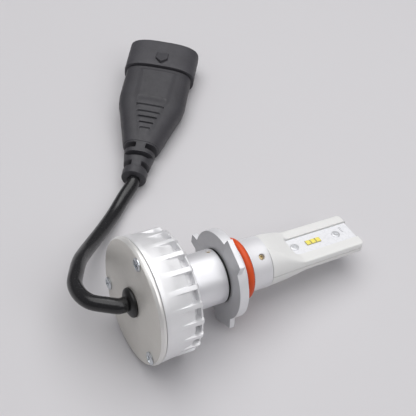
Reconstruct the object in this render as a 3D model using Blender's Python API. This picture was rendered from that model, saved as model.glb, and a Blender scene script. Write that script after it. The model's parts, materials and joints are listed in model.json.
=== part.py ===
"""LED headlight bulb with a twist-in three-lug base, a finned heat sink and a short lead with its plug.

The bulb's own axis is local X of the empty bulb_frame: the lamp end points along +X, and x = 0 is the
front face of the base flange. Angles round that axis run from local +Z (the upper LED board's normal)
towards local -Y. The bulb lies on a table at z = 0, on its heat sink's ribs and one base lug.
Lengths are in metres; MM turns a value in millimetres into metres.
"""

import math

import bmesh
import bpy
from mathutils import Matrix, Vector

MM = 0.001

# Fits between pieces
GAP = 0.3 * MM  # between faces
SCREW_FIT = 0.15 * MM  # round small screws, blades and wires
RUNNING_FIT = 0.08 * MM  # between the collar's bore and its spigot
THIN_GAP = 0.12 * MM  # in the stack of core plate, boards and chips

# Base collar: flange with three lugs, seal groove and hub
FLANGE_R = 16.5 * MM
FLANGE_T = 3.7 * MM
LUG_R = 20.06 * MM
LUG_T = 2.0 * MM
# (root, tip, tip, root) angles of each lug in degrees
LUGS = ((6.5, 10.5, 42.0, 49.0), (133.5, 142.5, 172.0, 177.0), (266.0, 269.0, 279.5, 282.5))
STEP_R = 11.2 * MM
GROOVE_X = 2.9 * MM
GROOVE_W = 3.1 * MM
GROOVE_R = 8.75 * MM
HUB_LIP_R = 10.0 * MM
HUB_LIP_W = 1.0 * MM
HUB_R = 9.7 * MM
COLLAR_FRONT_X = 14.2 * MM
SEAL_SECTION_R = 1.3 * MM
SEAL_R = 11.65 * MM  # outer radius
COLLAR_SCREW_X = 10.9 * MM
COLLAR_SCREW_ANGLE = 33.0
SET_SCREW_R = 0.95 * MM

# Neck
NECK_R = 10.1 * MM
NECK_LEN = 15.6 * MM
NECK_GASKET_T = 0.5 * MM
SPIGOT_R = 7.6 * MM  # front spigot, on which the collar turns
SPIGOT_PAST_COLLAR = 1.8 * MM
TAIL_SPIGOT_R = 8.0 * MM  # rear spigot, in the heat sink
TAIL_SPIGOT_LEN = 4.6 * MM
SLEEVE_BORE_R = 5.85 * MM
NECK_SCREW_X = -6.3 * MM
NECK_SCREW_ANGLE = -21.0
SET_SCREW_SINK = 0.4 * MM  # neck set screw's end below the surface
COLLAR_SCREW_SINK = 0.3 * MM

# Heat sink
SINK_LEN = 14.3 * MM
SINK_REAR_R = 22.9 * MM
SINK_BAND_DRAFT = 0.55 * MM
SINK_BAND_LEN = 6.6 * MM  # plain band at the rear
PANEL_DRAFT = 0.85 * MM  # from the band to the front edge of the panels between the ribs
SLOT_W = 2.4 * MM
SLOT_DEPTH = 2.9 * MM
PLATE_T = 0.7 * MM
PLATE_STEP = 0.2 * MM  # front plate's edge below the panels
RIB_COUNT = 22
RIB_PHASE = -4.0
RIB_W = 1.8 * MM
RIB_STEP = 0.4 * MM  # ribs' edge below the drum's rear edge
RIB_CORNER = 0.7 * MM
CAVITY_R = 17.4 * MM
CAVITY_DEPTH = 9.0 * MM

# Rear cover
COVER_T = 2.0 * MM
COVER_OVERHANG = 0.2 * MM  # past the drum's rear edge
COVER_BEVEL = 0.6 * MM
COVER_BEVEL_LEN = 1.0 * MM
COVER_SPIGOT_LEN = 2.2 * MM
COVER_SPIGOT_WALL = 2.4 * MM
COVER_SEAL_SECTION_R = 0.5 * MM
COVER_SCREW_INSET = 2.7 * MM  # from the drum's rear edge
COVER_SCREW_ANGLES = (7.5, 127.5, 247.5)
COVER_SCREW_HEAD_R = 2.4 * MM
COVER_SCREW_HEAD_T = 0.8 * MM
COVER_SCREW_R = 1.25 * MM
COVER_SCREW_LEN = 6.5 * MM

# Grommet and cable
CABLE_D = 5.6 * MM
GROMMET_R = 5.4 * MM
GROMMET_T = 1.8 * MM
GROMMET_NECK_R = 3.6 * MM
GROMMET_INNER_R = 5.0 * MM
GROMMET_INNER_T = 1.0 * MM
WIRE_R = 0.6 * MM

# Driver inside the heat sink
BOARD_CLEARANCE = 2.8 * MM  # from the board's edge to the cavity's wall
BOARD_T = 1.2 * MM
BOARD_STANDOFF = 1.6 * MM
PAD_INSET = 0.6 * MM
PAD_BORE_R = 9.4 * MM
CHOKE_R = 4.2 * MM
CHOKE_BORE_R = 1.6 * MM
CHOKE_LEN = 3.4 * MM
CAN_R = 2.6 * MM
CAN_LEN = 3.9 * MM
DRIVER_CHIP_SIZE = (1.4 * MM, 4.4 * MM, 5.2 * MM)

# Post, core plate and LED boards
POST_R = 9.6 * MM
POST_BLADE_R = 9.0 * MM
BLADE_HALF_T = 2.2 * MM
RAMP_LEN = 13.9 * MM
POST_LEN = 40.6 * MM
TIP_ROUND = 1.6 * MM
CORE_T = 1.2 * MM
CORE_FIT = 0.35 * MM  # core plate's edges in the sleeve's bore
LED_BOARD_T = 0.9 * MM
LED_BOARD_HALF_W = 4.3 * MM
LED_BOARD_BEHIND = 10.6 * MM  # from the chips' centre to the board's rear end
WIRE_HEADROOM = 0.26 * MM  # over the lead wires in the post's groove
LIGHT_CENTRE_LENGTH = 31.5 * MM  # from the seal groove's front wall to the LED chips
CHIP_LEN = 1.85 * MM
CHIP_W = 2.25 * MM
CHIP_T = 0.4 * MM
CHIP_PITCH = 2.15 * MM
CHIP_COUNT = 3
BOARD_SCREW_OFFSETS = (-8.2 * MM, 10.4 * MM)  # from the chips' centre
BOARD_SCREW_HEAD_R = 1.4 * MM
BOARD_SCREW_HEAD_T = 0.45 * MM
BOARD_SCREW_R = 0.7 * MM

# Plug, along its own axis from the mouth back
PLUG_AT = Vector((32.2, 131.9, 0)) * MM  # under the centre of the mouth
PLUG_AZIMUTH = 54.2
PLUG_ROLL = 6.0
PLUG_LEN = 77.0 * MM
SHELL_LEN = 15.9 * MM
SHELL_W = 31.6 * MM
SHELL_H = 15.5 * MM
SHELL_WALL = 1.6 * MM
SOCKET_DEPTH = 13.0 * MM
BUMP_LEN = 7.0 * MM
BUMP_W = 5.7 * MM
BUMP_H = 1.6 * MM
BODY_W = 29.2 * MM
BODY_H = 13.2 * MM
BODY_STRAIGHT = 36.0 * MM  # from the mouth to where the body starts to taper
RELIEF_START = 60.0 * MM
RELIEF_W = 14.4 * MM
RELIEF_H = 11.4 * MM
TAIL_D = 10.4 * MM
RING_LEN = 3.9 * MM
TERMINAL_W = 2.8 * MM
TERMINAL_T = 0.8 * MM
TERMINAL_LEN = 9.0 * MM
TERMINAL_PITCH = 7.0 * MM
# (distance from the mouth, half length) of each grip line
GRIP_LINES = ((40.3, 6.1), (43.9, 5.1), (47.0, 4.2), (50.2, 3.2), (53.3, 2.4))
GRIP_LINE_W = 0.8 * MM
RELIEF_SLOT_W = 2.2 * MM

# The lead's route between the grommet and the plug, chosen by hand
ROUTE = (
    Vector((-52.4, 2.0, 25.7)) * MM,
    Vector((-56.9, 6.0, 25.4)) * MM,
    Vector((-58.7, 11.4, 24.2)) * MM,
    Vector((-58.2, 18.2, 22.0)) * MM,
    Vector((-55.0, 25.0, 19.5)) * MM,
    Vector((-51.2, 31.8, 16.2)) * MM,
    Vector((-46.2, 38.2, 12.2)) * MM,
    Vector((-40.2, 44.6, 8.6)) * MM,
    Vector((-33.6, 51.1, 5.7)) * MM,
    Vector((-26.9, 57.4, 3.9)) * MM,
    Vector((-20.0, 63.4, 4.0)) * MM,
)
EXIT_STRAIGHT = 2.4 * MM
ROUTE_SAMPLES = 32

# Stations along the bulb's axis, and radii, that follow from the sizes above
FLANGE_BACK_X = -FLANGE_T
NECK_GASKET_FRONT_X = FLANGE_BACK_X - GAP
NECK_FRONT_X = NECK_GASKET_FRONT_X - NECK_GASKET_T - GAP
NECK_REAR_X = NECK_FRONT_X - NECK_LEN
SINK_FRONT_X = NECK_REAR_X - GAP
SINK_REAR_X = SINK_FRONT_X - SINK_LEN
COVER_FRONT_X = SINK_REAR_X - GAP
COVER_REAR_X = COVER_FRONT_X - COVER_T
GROMMET_REAR_X = COVER_REAR_X - GAP - GROMMET_T
CAVITY_FLOOR_X = SINK_REAR_X + CAVITY_DEPTH
SINK_BAND_R = SINK_REAR_R - SINK_BAND_DRAFT
PANEL_R = SINK_BAND_R - PANEL_DRAFT
SLOT_R = PANEL_R - SLOT_DEPTH
PLATE_R = PANEL_R - PLATE_STEP
RIB_R = SINK_REAR_R - RIB_STEP
COVER_R = SINK_REAR_R + COVER_OVERHANG
COVER_SCREW_CIRCLE_R = SINK_REAR_R - COVER_SCREW_INSET
BOARD_R = CAVITY_R - BOARD_CLEARANCE
CORE_HALF_W = SLEEVE_BORE_R - CORE_FIT
COLLAR_BORE_R = SPIGOT_R + RUNNING_FIT
SPIGOT_FRONT_X = COLLAR_FRONT_X + SPIGOT_PAST_COLLAR
HUB_LIP_X = GROOVE_X + GROOVE_W
CHIPS_X = HUB_LIP_X + LIGHT_CENTRE_LENGTH
POST_REAR_X = COLLAR_FRONT_X + GAP
POST_FRONT_X = POST_REAR_X + POST_LEN
BLADE_X = POST_REAR_X + RAMP_LEN
LED_BOARD_LEN = POST_FRONT_X - CHIPS_X + LED_BOARD_BEHIND
CORE_REAR_X = NECK_REAR_X - TAIL_SPIGOT_LEN
LED_BOARD_Z = CORE_T / 2 + THIN_GAP
LED_BOARD_TOP_Z = LED_BOARD_Z + LED_BOARD_T
COVER_SEAL_R = CAVITY_R - GAP - COVER_SEAL_SECTION_R

SEGMENTS = 48
SMALL_SEGMENTS = 20
BULB_X = -7.37 * MM  # puts the origin under the middle of the bulb
BULB_ROLL = 5.2  # degrees, from local +Z towards local +Y
REST_GAP = 0.02 * MM


def clear_scene():
    for obj in list(bpy.data.objects):
        bpy.data.objects.remove(obj, do_unlink=True)


def make_material(name, colour, roughness, metallic=0.0):
    material = bpy.data.materials.new(name)
    material.use_nodes = True
    shader = material.node_tree.nodes["Principled BSDF"]
    shader.inputs["Base Color"].default_value = (*colour, 1.0)
    shader.inputs["Roughness"].default_value = roughness
    shader.inputs["Metallic"].default_value = metallic
    return material


def make_materials():
    """The finishes, by name: each sub-part takes one."""
    return {
        "satin": make_material("satin_aluminium", (0.80, 0.80, 0.81), 0.38, 0.9),
        "cover": make_material("cover_paint", (0.50, 0.48, 0.45), 0.45, 0.5),
        "steel": make_material("screw_steel", (0.72, 0.72, 0.72), 0.28, 1.0),
        "brass": make_material("set_screw_brass", (0.70, 0.52, 0.24), 0.35, 1.0),
        "white": make_material("post_white", (0.86, 0.86, 0.85), 0.42),
        "mask": make_material("board_white", (0.92, 0.92, 0.93), 0.30),
        "phosphor": make_material("led_phosphor", (0.90, 0.80, 0.15), 0.35),
        "copper": make_material("core_copper", (0.72, 0.42, 0.28), 0.35, 1.0),
        "seal": make_material("seal_silicone", (0.72, 0.10, 0.03), 0.45),
        "rubber": make_material("black_rubber", (0.02, 0.02, 0.02), 0.55),
        "jacket": make_material("cable_jacket", (0.03, 0.03, 0.03), 0.45),
        "plug": make_material("plug_plastic", (0.04, 0.04, 0.045), 0.50),
        "fibreglass": make_material("fibreglass_board", (0.05, 0.20, 0.10), 0.50),
        "component": make_material("component_black", (0.03, 0.03, 0.03), 0.40),
        "can": make_material("capacitor_can", (0.60, 0.62, 0.66), 0.30, 0.9),
        "pad": make_material("thermal_pad", (0.35, 0.45, 0.60), 0.80),
        "wire": make_material("wire_insulation", (0.45, 0.02, 0.02), 0.45),
    }


def make_empty(name, parent=None, location=(0, 0, 0), rotation=(0, 0, 0)):
    empty = bpy.data.objects.new(name, None)
    bpy.context.scene.collection.objects.link(empty)
    empty.parent = parent
    empty.location = location
    empty.rotation_euler = rotation
    return empty


def make_object(name, bm, material, parent, location=(0, 0, 0), rotation=(0, 0, 0)):
    """Closes a bmesh into an object with outward faces and smooth round sides."""
    bmesh.ops.recalc_face_normals(bm, faces=bm.faces)
    mesh = bpy.data.meshes.new(name)
    bm.to_mesh(mesh)
    bm.free()
    mesh.shade_smooth()
    mesh.set_sharp_from_angle(angle=math.radians(35))
    obj = bpy.data.objects.new(name, mesh)
    bpy.context.scene.collection.objects.link(obj)
    obj.parent = parent
    obj.location = location
    obj.rotation_euler = rotation
    if material:
        mesh.materials.append(material)
    return obj


def make_cutter(name, bm, parent, location=(0, 0, 0), rotation=(0, 0, 0)):
    cutter = make_object(name, bm, None, parent, location, rotation)
    cutter.hide_render = True
    cutter.display_type = "WIRE"
    return cutter


def combine(obj, other, operation):
    modifier = obj.modifiers.new(other.name, "BOOLEAN")
    modifier.operation = operation
    modifier.solver = "EXACT"
    modifier.object = other


def around(angle, radius, x=0.0):
    """A point at an angle in degrees round the bulb's axis."""
    turn = math.radians(angle)
    return Vector((x, -radius * math.sin(turn), radius * math.cos(turn)))


def turned(profile, segments=SEGMENTS, bm=None):
    """A solid of revolution about local X. The profile is a closed loop of (x, radius), and two of its
    neighbouring points may lie on the axis."""
    bm = bm or bmesh.new()
    rings = []
    for x, radius in profile:
        if radius == 0:
            rings.append([bm.verts.new((x, 0, 0))] * segments)
        else:
            rings.append([bm.verts.new(around(360 * k / segments, radius, x)) for k in range(segments)])
    for ring, following in zip(rings, rings[1:] + rings[:1]):
        for k in range(segments):
            n = (k + 1) % segments
            corners = []
            for corner in (ring[k], ring[n], following[n], following[k]):
                if corner not in corners:
                    corners.append(corner)
            if len(corners) > 2:
                bm.faces.new(corners)
    return bm


def round_profile(x, radius, section, steps=10):
    """The closed circular section of a ring, as (x, radius) points."""
    angles = [2 * math.pi * k / steps for k in range(steps)]
    return [(x + section * math.cos(a), radius + section * math.sin(a)) for a in angles]


def plain_rod(x0, x1, radius):
    """The profile of a plain cylinder."""
    return [(x0, 0), (x0, radius), (x1, radius), (x1, 0)]


def moved(bm, by):
    bmesh.ops.translate(bm, vec=by, verts=bm.verts)
    return bm


def copy_into(bm, target):
    """Adds one bmesh's geometry to another and frees the first."""
    mesh = bpy.data.meshes.new("carrier")
    bm.to_mesh(mesh)
    bm.free()
    target.from_mesh(mesh)
    bpy.data.meshes.remove(mesh)


def slab(corners, across, bm=None):
    """Extrudes a flat loop of corners by a vector."""
    bm = bm or bmesh.new()
    face = bm.faces.new([bm.verts.new(corner) for corner in corners])
    made = bmesh.ops.extrude_face_region(bm, geom=[face])["geom"]
    bmesh.ops.translate(bm, vec=across, verts=[v for v in made if isinstance(v, bmesh.types.BMVert)])
    return bm


def prism(outline, depth, at=0.0):
    """Extrudes an outline of (y, z) points along X, from at to at + depth."""
    return slab([Vector((at, y, z)) for y, z in outline], Vector((depth, 0, 0)))


def between(low, high):
    """The solid between two loops of as many corners."""
    bm = bmesh.new()
    bottom = [bm.verts.new(corner) for corner in low]
    top = [bm.verts.new(corner) for corner in high]
    bm.faces.new(bottom)
    bm.faces.new(top)
    for k in range(len(bottom)):
        n = (k + 1) % len(bottom)
        bm.faces.new((bottom[k], bottom[n], top[n], top[k]))
    return bm


def circle(radius, count):
    angles = [2 * math.pi * k / count for k in range(count)]
    return [(radius * math.cos(a), radius * math.sin(a)) for a in angles]


def superellipse(half_w, half_h, power, count):
    """Points (y, z) of a rounded outline: power 2 is an ellipse, and more is squarer."""
    points = []
    for y, z in circle(1.0, count):
        length = (abs(y) ** power + abs(z) ** power) ** (1 / power)
        points.append((half_w * y / length, half_h * z / length))
    return points


def lofted(stations, count):
    """A solid through superellipses, each given as (x, half width, half height, power)."""
    bm = bmesh.new()
    rings = []
    for x, half_w, half_h, power in stations:
        outline = superellipse(half_w, half_h, power, count)
        rings.append([bm.verts.new((x, y, z)) for y, z in outline])
    bm.faces.new(rings[0])
    bm.faces.new(rings[-1])
    for ring, following in zip(rings, rings[1:]):
        for k in range(count):
            n = (k + 1) % count
            bm.faces.new((ring[k], ring[n], following[n], following[k]))
    return bm


def drilled(radius, x, z0, z1):
    """A round hole's solid along local Z, between two heights."""
    return slab([Vector((x + a, b, z0)) for a, b in circle(radius, 16)], Vector((0, 0, z1 - z0)))


def placed_cutter(name, bm, parent, matrix):
    location, rotation, _ = matrix.decompose()
    return make_cutter(name, bm, parent, location, rotation.to_euler())


def block(size, centre=(0, 0, 0), matrix=None, bm=None):
    """A box of the given size (x, y, z) about a centre, moved by a matrix."""
    bm = bm or bmesh.new()
    made = bmesh.ops.create_cube(bm, size=1.0)["verts"]
    bmesh.ops.scale(bm, vec=size, verts=made)
    bmesh.ops.translate(bm, vec=centre, verts=made)
    if matrix:
        bmesh.ops.transform(bm, matrix=matrix, verts=made)
    return bm


def spoke_matrix(angle, radius=0.0, x=0.0):
    """Turns local X to point out from the bulb's axis at an angle, and moves it there."""
    direction = around(angle, 1.0)
    turn = Vector((1, 0, 0)).rotation_difference(direction).to_matrix().to_4x4()
    return Matrix.Translation(around(angle, radius, x)) @ turn


def cross_outline(half_length, half_width):
    """The 12 corners of a plus sign, as (y, z) points."""
    a, b = half_length, half_width
    quarter = [(a, -b), (a, b), (b, b)]
    corners = []
    for turn in range(4):
        c, s = (1, 0, -1, 0)[turn], (0, 1, 0, -1)[turn]
        corners += [(y * c - z * s, y * s + z * c) for y, z in quarter]
    return corners


def make_screw(name, size, material, parent, matrix):
    """A domed screw with a cross recess. Its shank runs along +X from the underside of its head at x = 0.
    size is (head radius, head thickness, shank radius, shank length)."""
    head_r, head_t, shank_r, shank_len = size
    profile = [
        (shank_len, 0),
        (shank_len, shank_r * 0.8),
        (shank_len - shank_r * 0.4, shank_r),
        (0, shank_r),
        (0, head_r),
        (-head_t * 0.45, head_r),
        (-head_t * 0.85, head_r * 0.78),
        (-head_t, head_r * 0.45),
        (-head_t, 0),
    ]
    location, rotation, _ = matrix.decompose()
    body = turned(profile, SMALL_SEGMENTS)
    screw = make_object(name, body, material, parent, location, rotation.to_euler())
    recess = prism(cross_outline(head_r * 0.55, head_r * 0.14), head_t * 1.0, at=-head_t * 1.5)
    combine(screw, make_cutter(name + "_recess", recess, screw), "DIFFERENCE")
    return screw


def make_set_screw(name, length, material, parent, matrix):
    """A headless screw with a hexagon socket in its outer end, which is at x = 0; it runs along -X."""
    r = SET_SCREW_R
    outer = [(0, 0), (0, r * 0.85), (-r * 0.25, r)]
    profile = outer + [(-length + r * 0.4, r), (-length, r * 0.6), (-length, 0)]
    location, rotation, _ = matrix.decompose()
    body = turned(profile, SMALL_SEGMENTS)
    screw = make_object(name, body, material, parent, location, rotation.to_euler())
    socket = prism(circle(0.55 * r, 6), 1.6 * r, at=-0.8 * r)
    combine(screw, make_cutter(name + "_socket", socket, screw), "DIFFERENCE")
    return screw


def make_heat_sink(mats, frame):
    """Drum with a driver cavity, a vent slot round its front, and ribs that bridge the slot."""
    slot_rear = SINK_FRONT_X - PLATE_T - SLOT_W
    profile = [
        (SINK_REAR_X, CAVITY_R),
        (SINK_REAR_X, SINK_REAR_R),
        (SINK_REAR_X + SINK_BAND_LEN, SINK_BAND_R),
        (slot_rear, PANEL_R),
        (slot_rear, SLOT_R),
        (slot_rear + SLOT_W, SLOT_R),
        (slot_rear + SLOT_W, PLATE_R),
        (SINK_FRONT_X, PLATE_R - PLATE_T * 0.6),
        (SINK_FRONT_X, TAIL_SPIGOT_R + GAP),
        (CAVITY_FLOOR_X, TAIL_SPIGOT_R + GAP),
        (CAVITY_FLOOR_X, CAVITY_R),
    ]
    sink = make_object("heat_sink", turned(profile, 3 * RIB_COUNT), mats["satin"], frame)
    combine(sink, make_cutter("heat_sink_ribs", rib_ring(), frame), "UNION")
    holes = bmesh.new()
    hole_end = COVER_REAR_X + COVER_SCREW_LEN + GAP
    for angle in COVER_SCREW_ANGLES:
        hole = turned(plain_rod(SINK_REAR_X - MM, hole_end, COVER_SCREW_R + GAP), 12)
        copy_into(moved(hole, around(angle, COVER_SCREW_CIRCLE_R)), holes)
    combine(sink, make_cutter("heat_sink_screw_holes", holes, frame), "DIFFERENCE")
    return sink


def rib_ring():
    """The heat sink's ribs, each with a rounded front corner."""
    bm = bmesh.new()
    rear = SINK_REAR_X + SINK_BAND_LEN * 0.8
    front = SINK_FRONT_X - 0.05 * MM
    root = SLOT_R - 1.0 * MM
    corner = RIB_CORNER
    side = [(rear, root), (rear, RIB_R)]
    for step in range(4):
        a = math.radians(90 - 30 * step)
        side.append((front - corner + corner * math.cos(a), RIB_R - corner + corner * math.sin(a)))
    side.append((front, root))
    for k in range(RIB_COUNT):
        angle = RIB_PHASE + 360 * k / RIB_COUNT
        across = around(angle + 90, RIB_W)
        slab([around(angle, r, x) - across / 2 for x, r in side], across, bm)
    return bm


def make_rear_cover(mats, frame):
    """Disc with a bevelled rim, a spigot with a seal groove, three screw holes and the cable hole."""
    spigot_r = CAVITY_R - GAP
    spigot_x = COVER_FRONT_X + COVER_SPIGOT_LEN
    groove_x = COVER_FRONT_X + COVER_SPIGOT_LEN / 2
    half = COVER_SEAL_SECTION_R + SCREW_FIT
    groove_r = COVER_SEAL_R - COVER_SEAL_SECTION_R - SCREW_FIT
    profile = [
        (COVER_REAR_X, GROMMET_NECK_R + GAP),
        (COVER_REAR_X, COVER_R - COVER_BEVEL),
        (COVER_REAR_X + COVER_BEVEL_LEN, COVER_R),
        (COVER_FRONT_X, COVER_R),
        (COVER_FRONT_X, spigot_r),
        (groove_x - half, spigot_r),
        (groove_x - half, groove_r),
        (groove_x + half, groove_r),
        (groove_x + half, spigot_r),
        (spigot_x, spigot_r),
        (spigot_x, spigot_r - COVER_SPIGOT_WALL),
        (COVER_FRONT_X, spigot_r - COVER_SPIGOT_WALL),
        (COVER_FRONT_X, GROMMET_NECK_R + GAP),
    ]
    cover = make_object("rear_cover", turned(profile, 60), mats["cover"], frame)
    holes = bmesh.new()
    for angle in COVER_SCREW_ANGLES:
        hole = turned(plain_rod(COVER_REAR_X - MM, COVER_FRONT_X + MM, COVER_SCREW_R + GAP), 12)
        copy_into(moved(hole, around(angle, COVER_SCREW_CIRCLE_R)), holes)
    combine(cover, make_cutter("rear_cover_screw_holes", holes, frame), "DIFFERENCE")
    seal = turned(round_profile(groove_x, COVER_SEAL_R, COVER_SEAL_SECTION_R, 8), 40)
    make_object("cover_gasket", seal, mats["rubber"], frame)
    for number, angle in enumerate(COVER_SCREW_ANGLES, 1):
        matrix = Matrix.Translation(around(angle, COVER_SCREW_CIRCLE_R, COVER_REAR_X - THIN_GAP))
        matrix = matrix @ Matrix.Rotation(math.radians(angle * 0.7), 4, "X")
        size = (COVER_SCREW_HEAD_R, COVER_SCREW_HEAD_T, COVER_SCREW_R, COVER_SCREW_LEN)
        make_screw(f"cover_screw_{number}", size, mats["steel"], frame, matrix)


def make_grommet(mats, frame):
    """Rubber grommet with a flange on each side of the cover."""
    inner_x = COVER_FRONT_X + GAP
    profile = [
        (GROMMET_REAR_X, 0),
        (GROMMET_REAR_X, GROMMET_R - 0.6 * MM),
        (GROMMET_REAR_X + 0.6 * MM, GROMMET_R),
        (COVER_REAR_X - GAP, GROMMET_R),
        (COVER_REAR_X - GAP, GROMMET_NECK_R),
        (inner_x, GROMMET_NECK_R),
        (inner_x, GROMMET_INNER_R),
        (inner_x + GROMMET_INNER_T, GROMMET_INNER_R),
        (inner_x + GROMMET_INNER_T, 0),
    ]
    make_object("cable_grommet", turned(profile, 32), mats["rubber"], frame)


def make_driver(mats, frame):
    """The driver board on its thermal pad, with its parts and the two supply wires."""
    board_front = CAVITY_FLOOR_X - BOARD_STANDOFF
    board_rear = board_front - BOARD_T
    pad_x = board_front + GAP
    pad_r = BOARD_R - PAD_INSET
    pad_front = CAVITY_FLOOR_X - GAP
    pad = [(pad_x, PAD_BORE_R), (pad_x, pad_r), (pad_front, pad_r), (pad_front, PAD_BORE_R)]
    make_object("driver_pad", turned(pad, 32), mats["pad"], frame)
    board = turned(plain_rod(board_rear, board_front, BOARD_R), 40)
    make_object("driver_board", board, mats["fibreglass"], frame)
    rear = board_rear - THIN_GAP
    coil = [(0, CHOKE_BORE_R), (0, CHOKE_R), (-CHOKE_LEN, CHOKE_R), (-CHOKE_LEN, CHOKE_BORE_R)]
    place = around(160, 8.6 * MM, rear)
    make_object("driver_choke", turned(coil, 24), mats["component"], frame, place)
    for number, angle in enumerate((20, 70), 1):
        can = turned(plain_rod(-CAN_LEN, 0, CAN_R), 20)
        place = around(angle, 9.2 * MM, rear)
        make_object(f"driver_capacitor_{number}", can, mats["can"], frame, place)
    chip = block(DRIVER_CHIP_SIZE, (-DRIVER_CHIP_SIZE[0] / 2, 0, 0))
    make_object("driver_chip", chip, mats["component"], frame, around(265, 9.0 * MM, rear))
    wire_rear = COVER_FRONT_X + 2 * GAP + GROMMET_INNER_T
    for number, angle in enumerate((110, 290), 1):
        wire = turned(plain_rod(wire_rear, board_rear - GAP, WIRE_R), 10)
        make_object(f"supply_wire_{number}", wire, mats["wire"], frame, around(angle, 2.2 * MM))


def make_neck(mats, frame):
    """Sleeve between heat sink and lamp, with a spigot for the collar and one in the sink."""
    profile = [
        (NECK_REAR_X - TAIL_SPIGOT_LEN, SLEEVE_BORE_R),
        (NECK_REAR_X - TAIL_SPIGOT_LEN, TAIL_SPIGOT_R),
        (NECK_REAR_X, TAIL_SPIGOT_R),
        (NECK_REAR_X, NECK_R),
        (NECK_FRONT_X, NECK_R),
        (NECK_FRONT_X, SPIGOT_R),
        (SPIGOT_FRONT_X, SPIGOT_R),
        (SPIGOT_FRONT_X, SLEEVE_BORE_R),
    ]
    sleeve = make_object("neck_sleeve", turned(profile), mats["satin"], frame)
    wall = NECK_R - SLEEVE_BORE_R
    hole = prism(circle(SET_SCREW_R + SCREW_FIT, 16), wall + 2 * MM, at=-wall - MM)
    place = spoke_matrix(NECK_SCREW_ANGLE, NECK_R, NECK_SCREW_X)
    combine(sleeve, placed_cutter("neck_sleeve_hole", hole, frame, place), "DIFFERENCE")
    length = wall - SET_SCREW_SINK - GAP
    place = spoke_matrix(NECK_SCREW_ANGLE, NECK_R - SET_SCREW_SINK, NECK_SCREW_X)
    make_set_screw("neck_set_screw", length, mats["brass"], frame, place)
    inner = SPIGOT_R + GAP
    front = NECK_GASKET_FRONT_X
    rear = front - NECK_GASKET_T
    ring = [(rear, inner), (rear, NECK_R), (front, NECK_R), (front, inner)]
    make_object("neck_gasket", turned(ring), mats["rubber"], frame)


def make_collar(mats, frame):
    """The base: a three-lug flange, a step, the seal's groove and a hub, on one running bore."""
    front = COLLAR_FRONT_X
    edge = 0.3 * MM
    profile = [
        (FLANGE_BACK_X, COLLAR_BORE_R),
        (FLANGE_BACK_X, FLANGE_R - edge),
        (FLANGE_BACK_X + edge, FLANGE_R),
        (-edge, FLANGE_R),
        (0, FLANGE_R - edge),
        (0, STEP_R),
        (GROOVE_X, STEP_R),
        (GROOVE_X, GROOVE_R),
        (HUB_LIP_X, GROOVE_R),
        (HUB_LIP_X, HUB_LIP_R),
        (HUB_LIP_X + HUB_LIP_W, HUB_LIP_R),
        (HUB_LIP_X + HUB_LIP_W, HUB_R),
        (front - edge, HUB_R),
        (front, HUB_R - edge),
        (front, COLLAR_BORE_R),
    ]
    collar = make_object("base_collar", turned(profile), mats["satin"], frame)
    lugs = bmesh.new()
    inner = FLANGE_R - 1.5 * MM
    for root_a, tip_a, tip_b, root_b in LUGS:
        corners = [around(root_a, inner, FLANGE_BACK_X), around(root_a, FLANGE_R * 0.995, FLANGE_BACK_X)]
        corners += [around(tip_a, LUG_R, FLANGE_BACK_X), around(tip_b, LUG_R, FLANGE_BACK_X)]
        corners += [around(root_b, FLANGE_R * 0.995, FLANGE_BACK_X)]
        corners += [around(root_b + (root_a - root_b) * k / 6, inner, FLANGE_BACK_X) for k in range(6)]
        slab(corners, Vector((LUG_T, 0, 0)), lugs)
    combine(collar, make_cutter("base_collar_lugs", lugs, frame), "UNION")
    wall = HUB_R - COLLAR_BORE_R
    hole = prism(circle(SET_SCREW_R + SCREW_FIT, 16), wall + 2 * MM, at=-wall - MM)
    place = spoke_matrix(COLLAR_SCREW_ANGLE, HUB_R, COLLAR_SCREW_X)
    combine(collar, placed_cutter("base_collar_hole", hole, frame, place), "DIFFERENCE")
    place = spoke_matrix(COLLAR_SCREW_ANGLE, HUB_R - COLLAR_SCREW_SINK, COLLAR_SCREW_X)
    make_set_screw("collar_set_screw", wall - COLLAR_SCREW_SINK, mats["brass"], frame, place)
    middle = GROOVE_X + GROOVE_W / 2
    ring = round_profile(middle, SEAL_R - SEAL_SECTION_R, SEAL_SECTION_R, 12)
    make_object("base_seal", turned(ring), mats["seal"], frame)


def post_outer():
    """The post's outside as a solid of revolution: its root ring, its sides and its rounded tip."""
    steps = [math.radians(90 - 30 * k) for k in range(1, 4)]
    centre = (POST_FRONT_X - TIP_ROUND, POST_BLADE_R - TIP_ROUND)
    profile = [(POST_REAR_X, 0), (POST_REAR_X, POST_R), (BLADE_X, POST_BLADE_R + 0.15 * MM)]
    profile.append((centre[0], POST_BLADE_R))
    profile += [(centre[0] + TIP_ROUND * math.cos(a), centre[1] + TIP_ROUND * math.sin(a)) for a in steps]
    profile.append((POST_FRONT_X, 0))
    return turned(profile)


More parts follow.
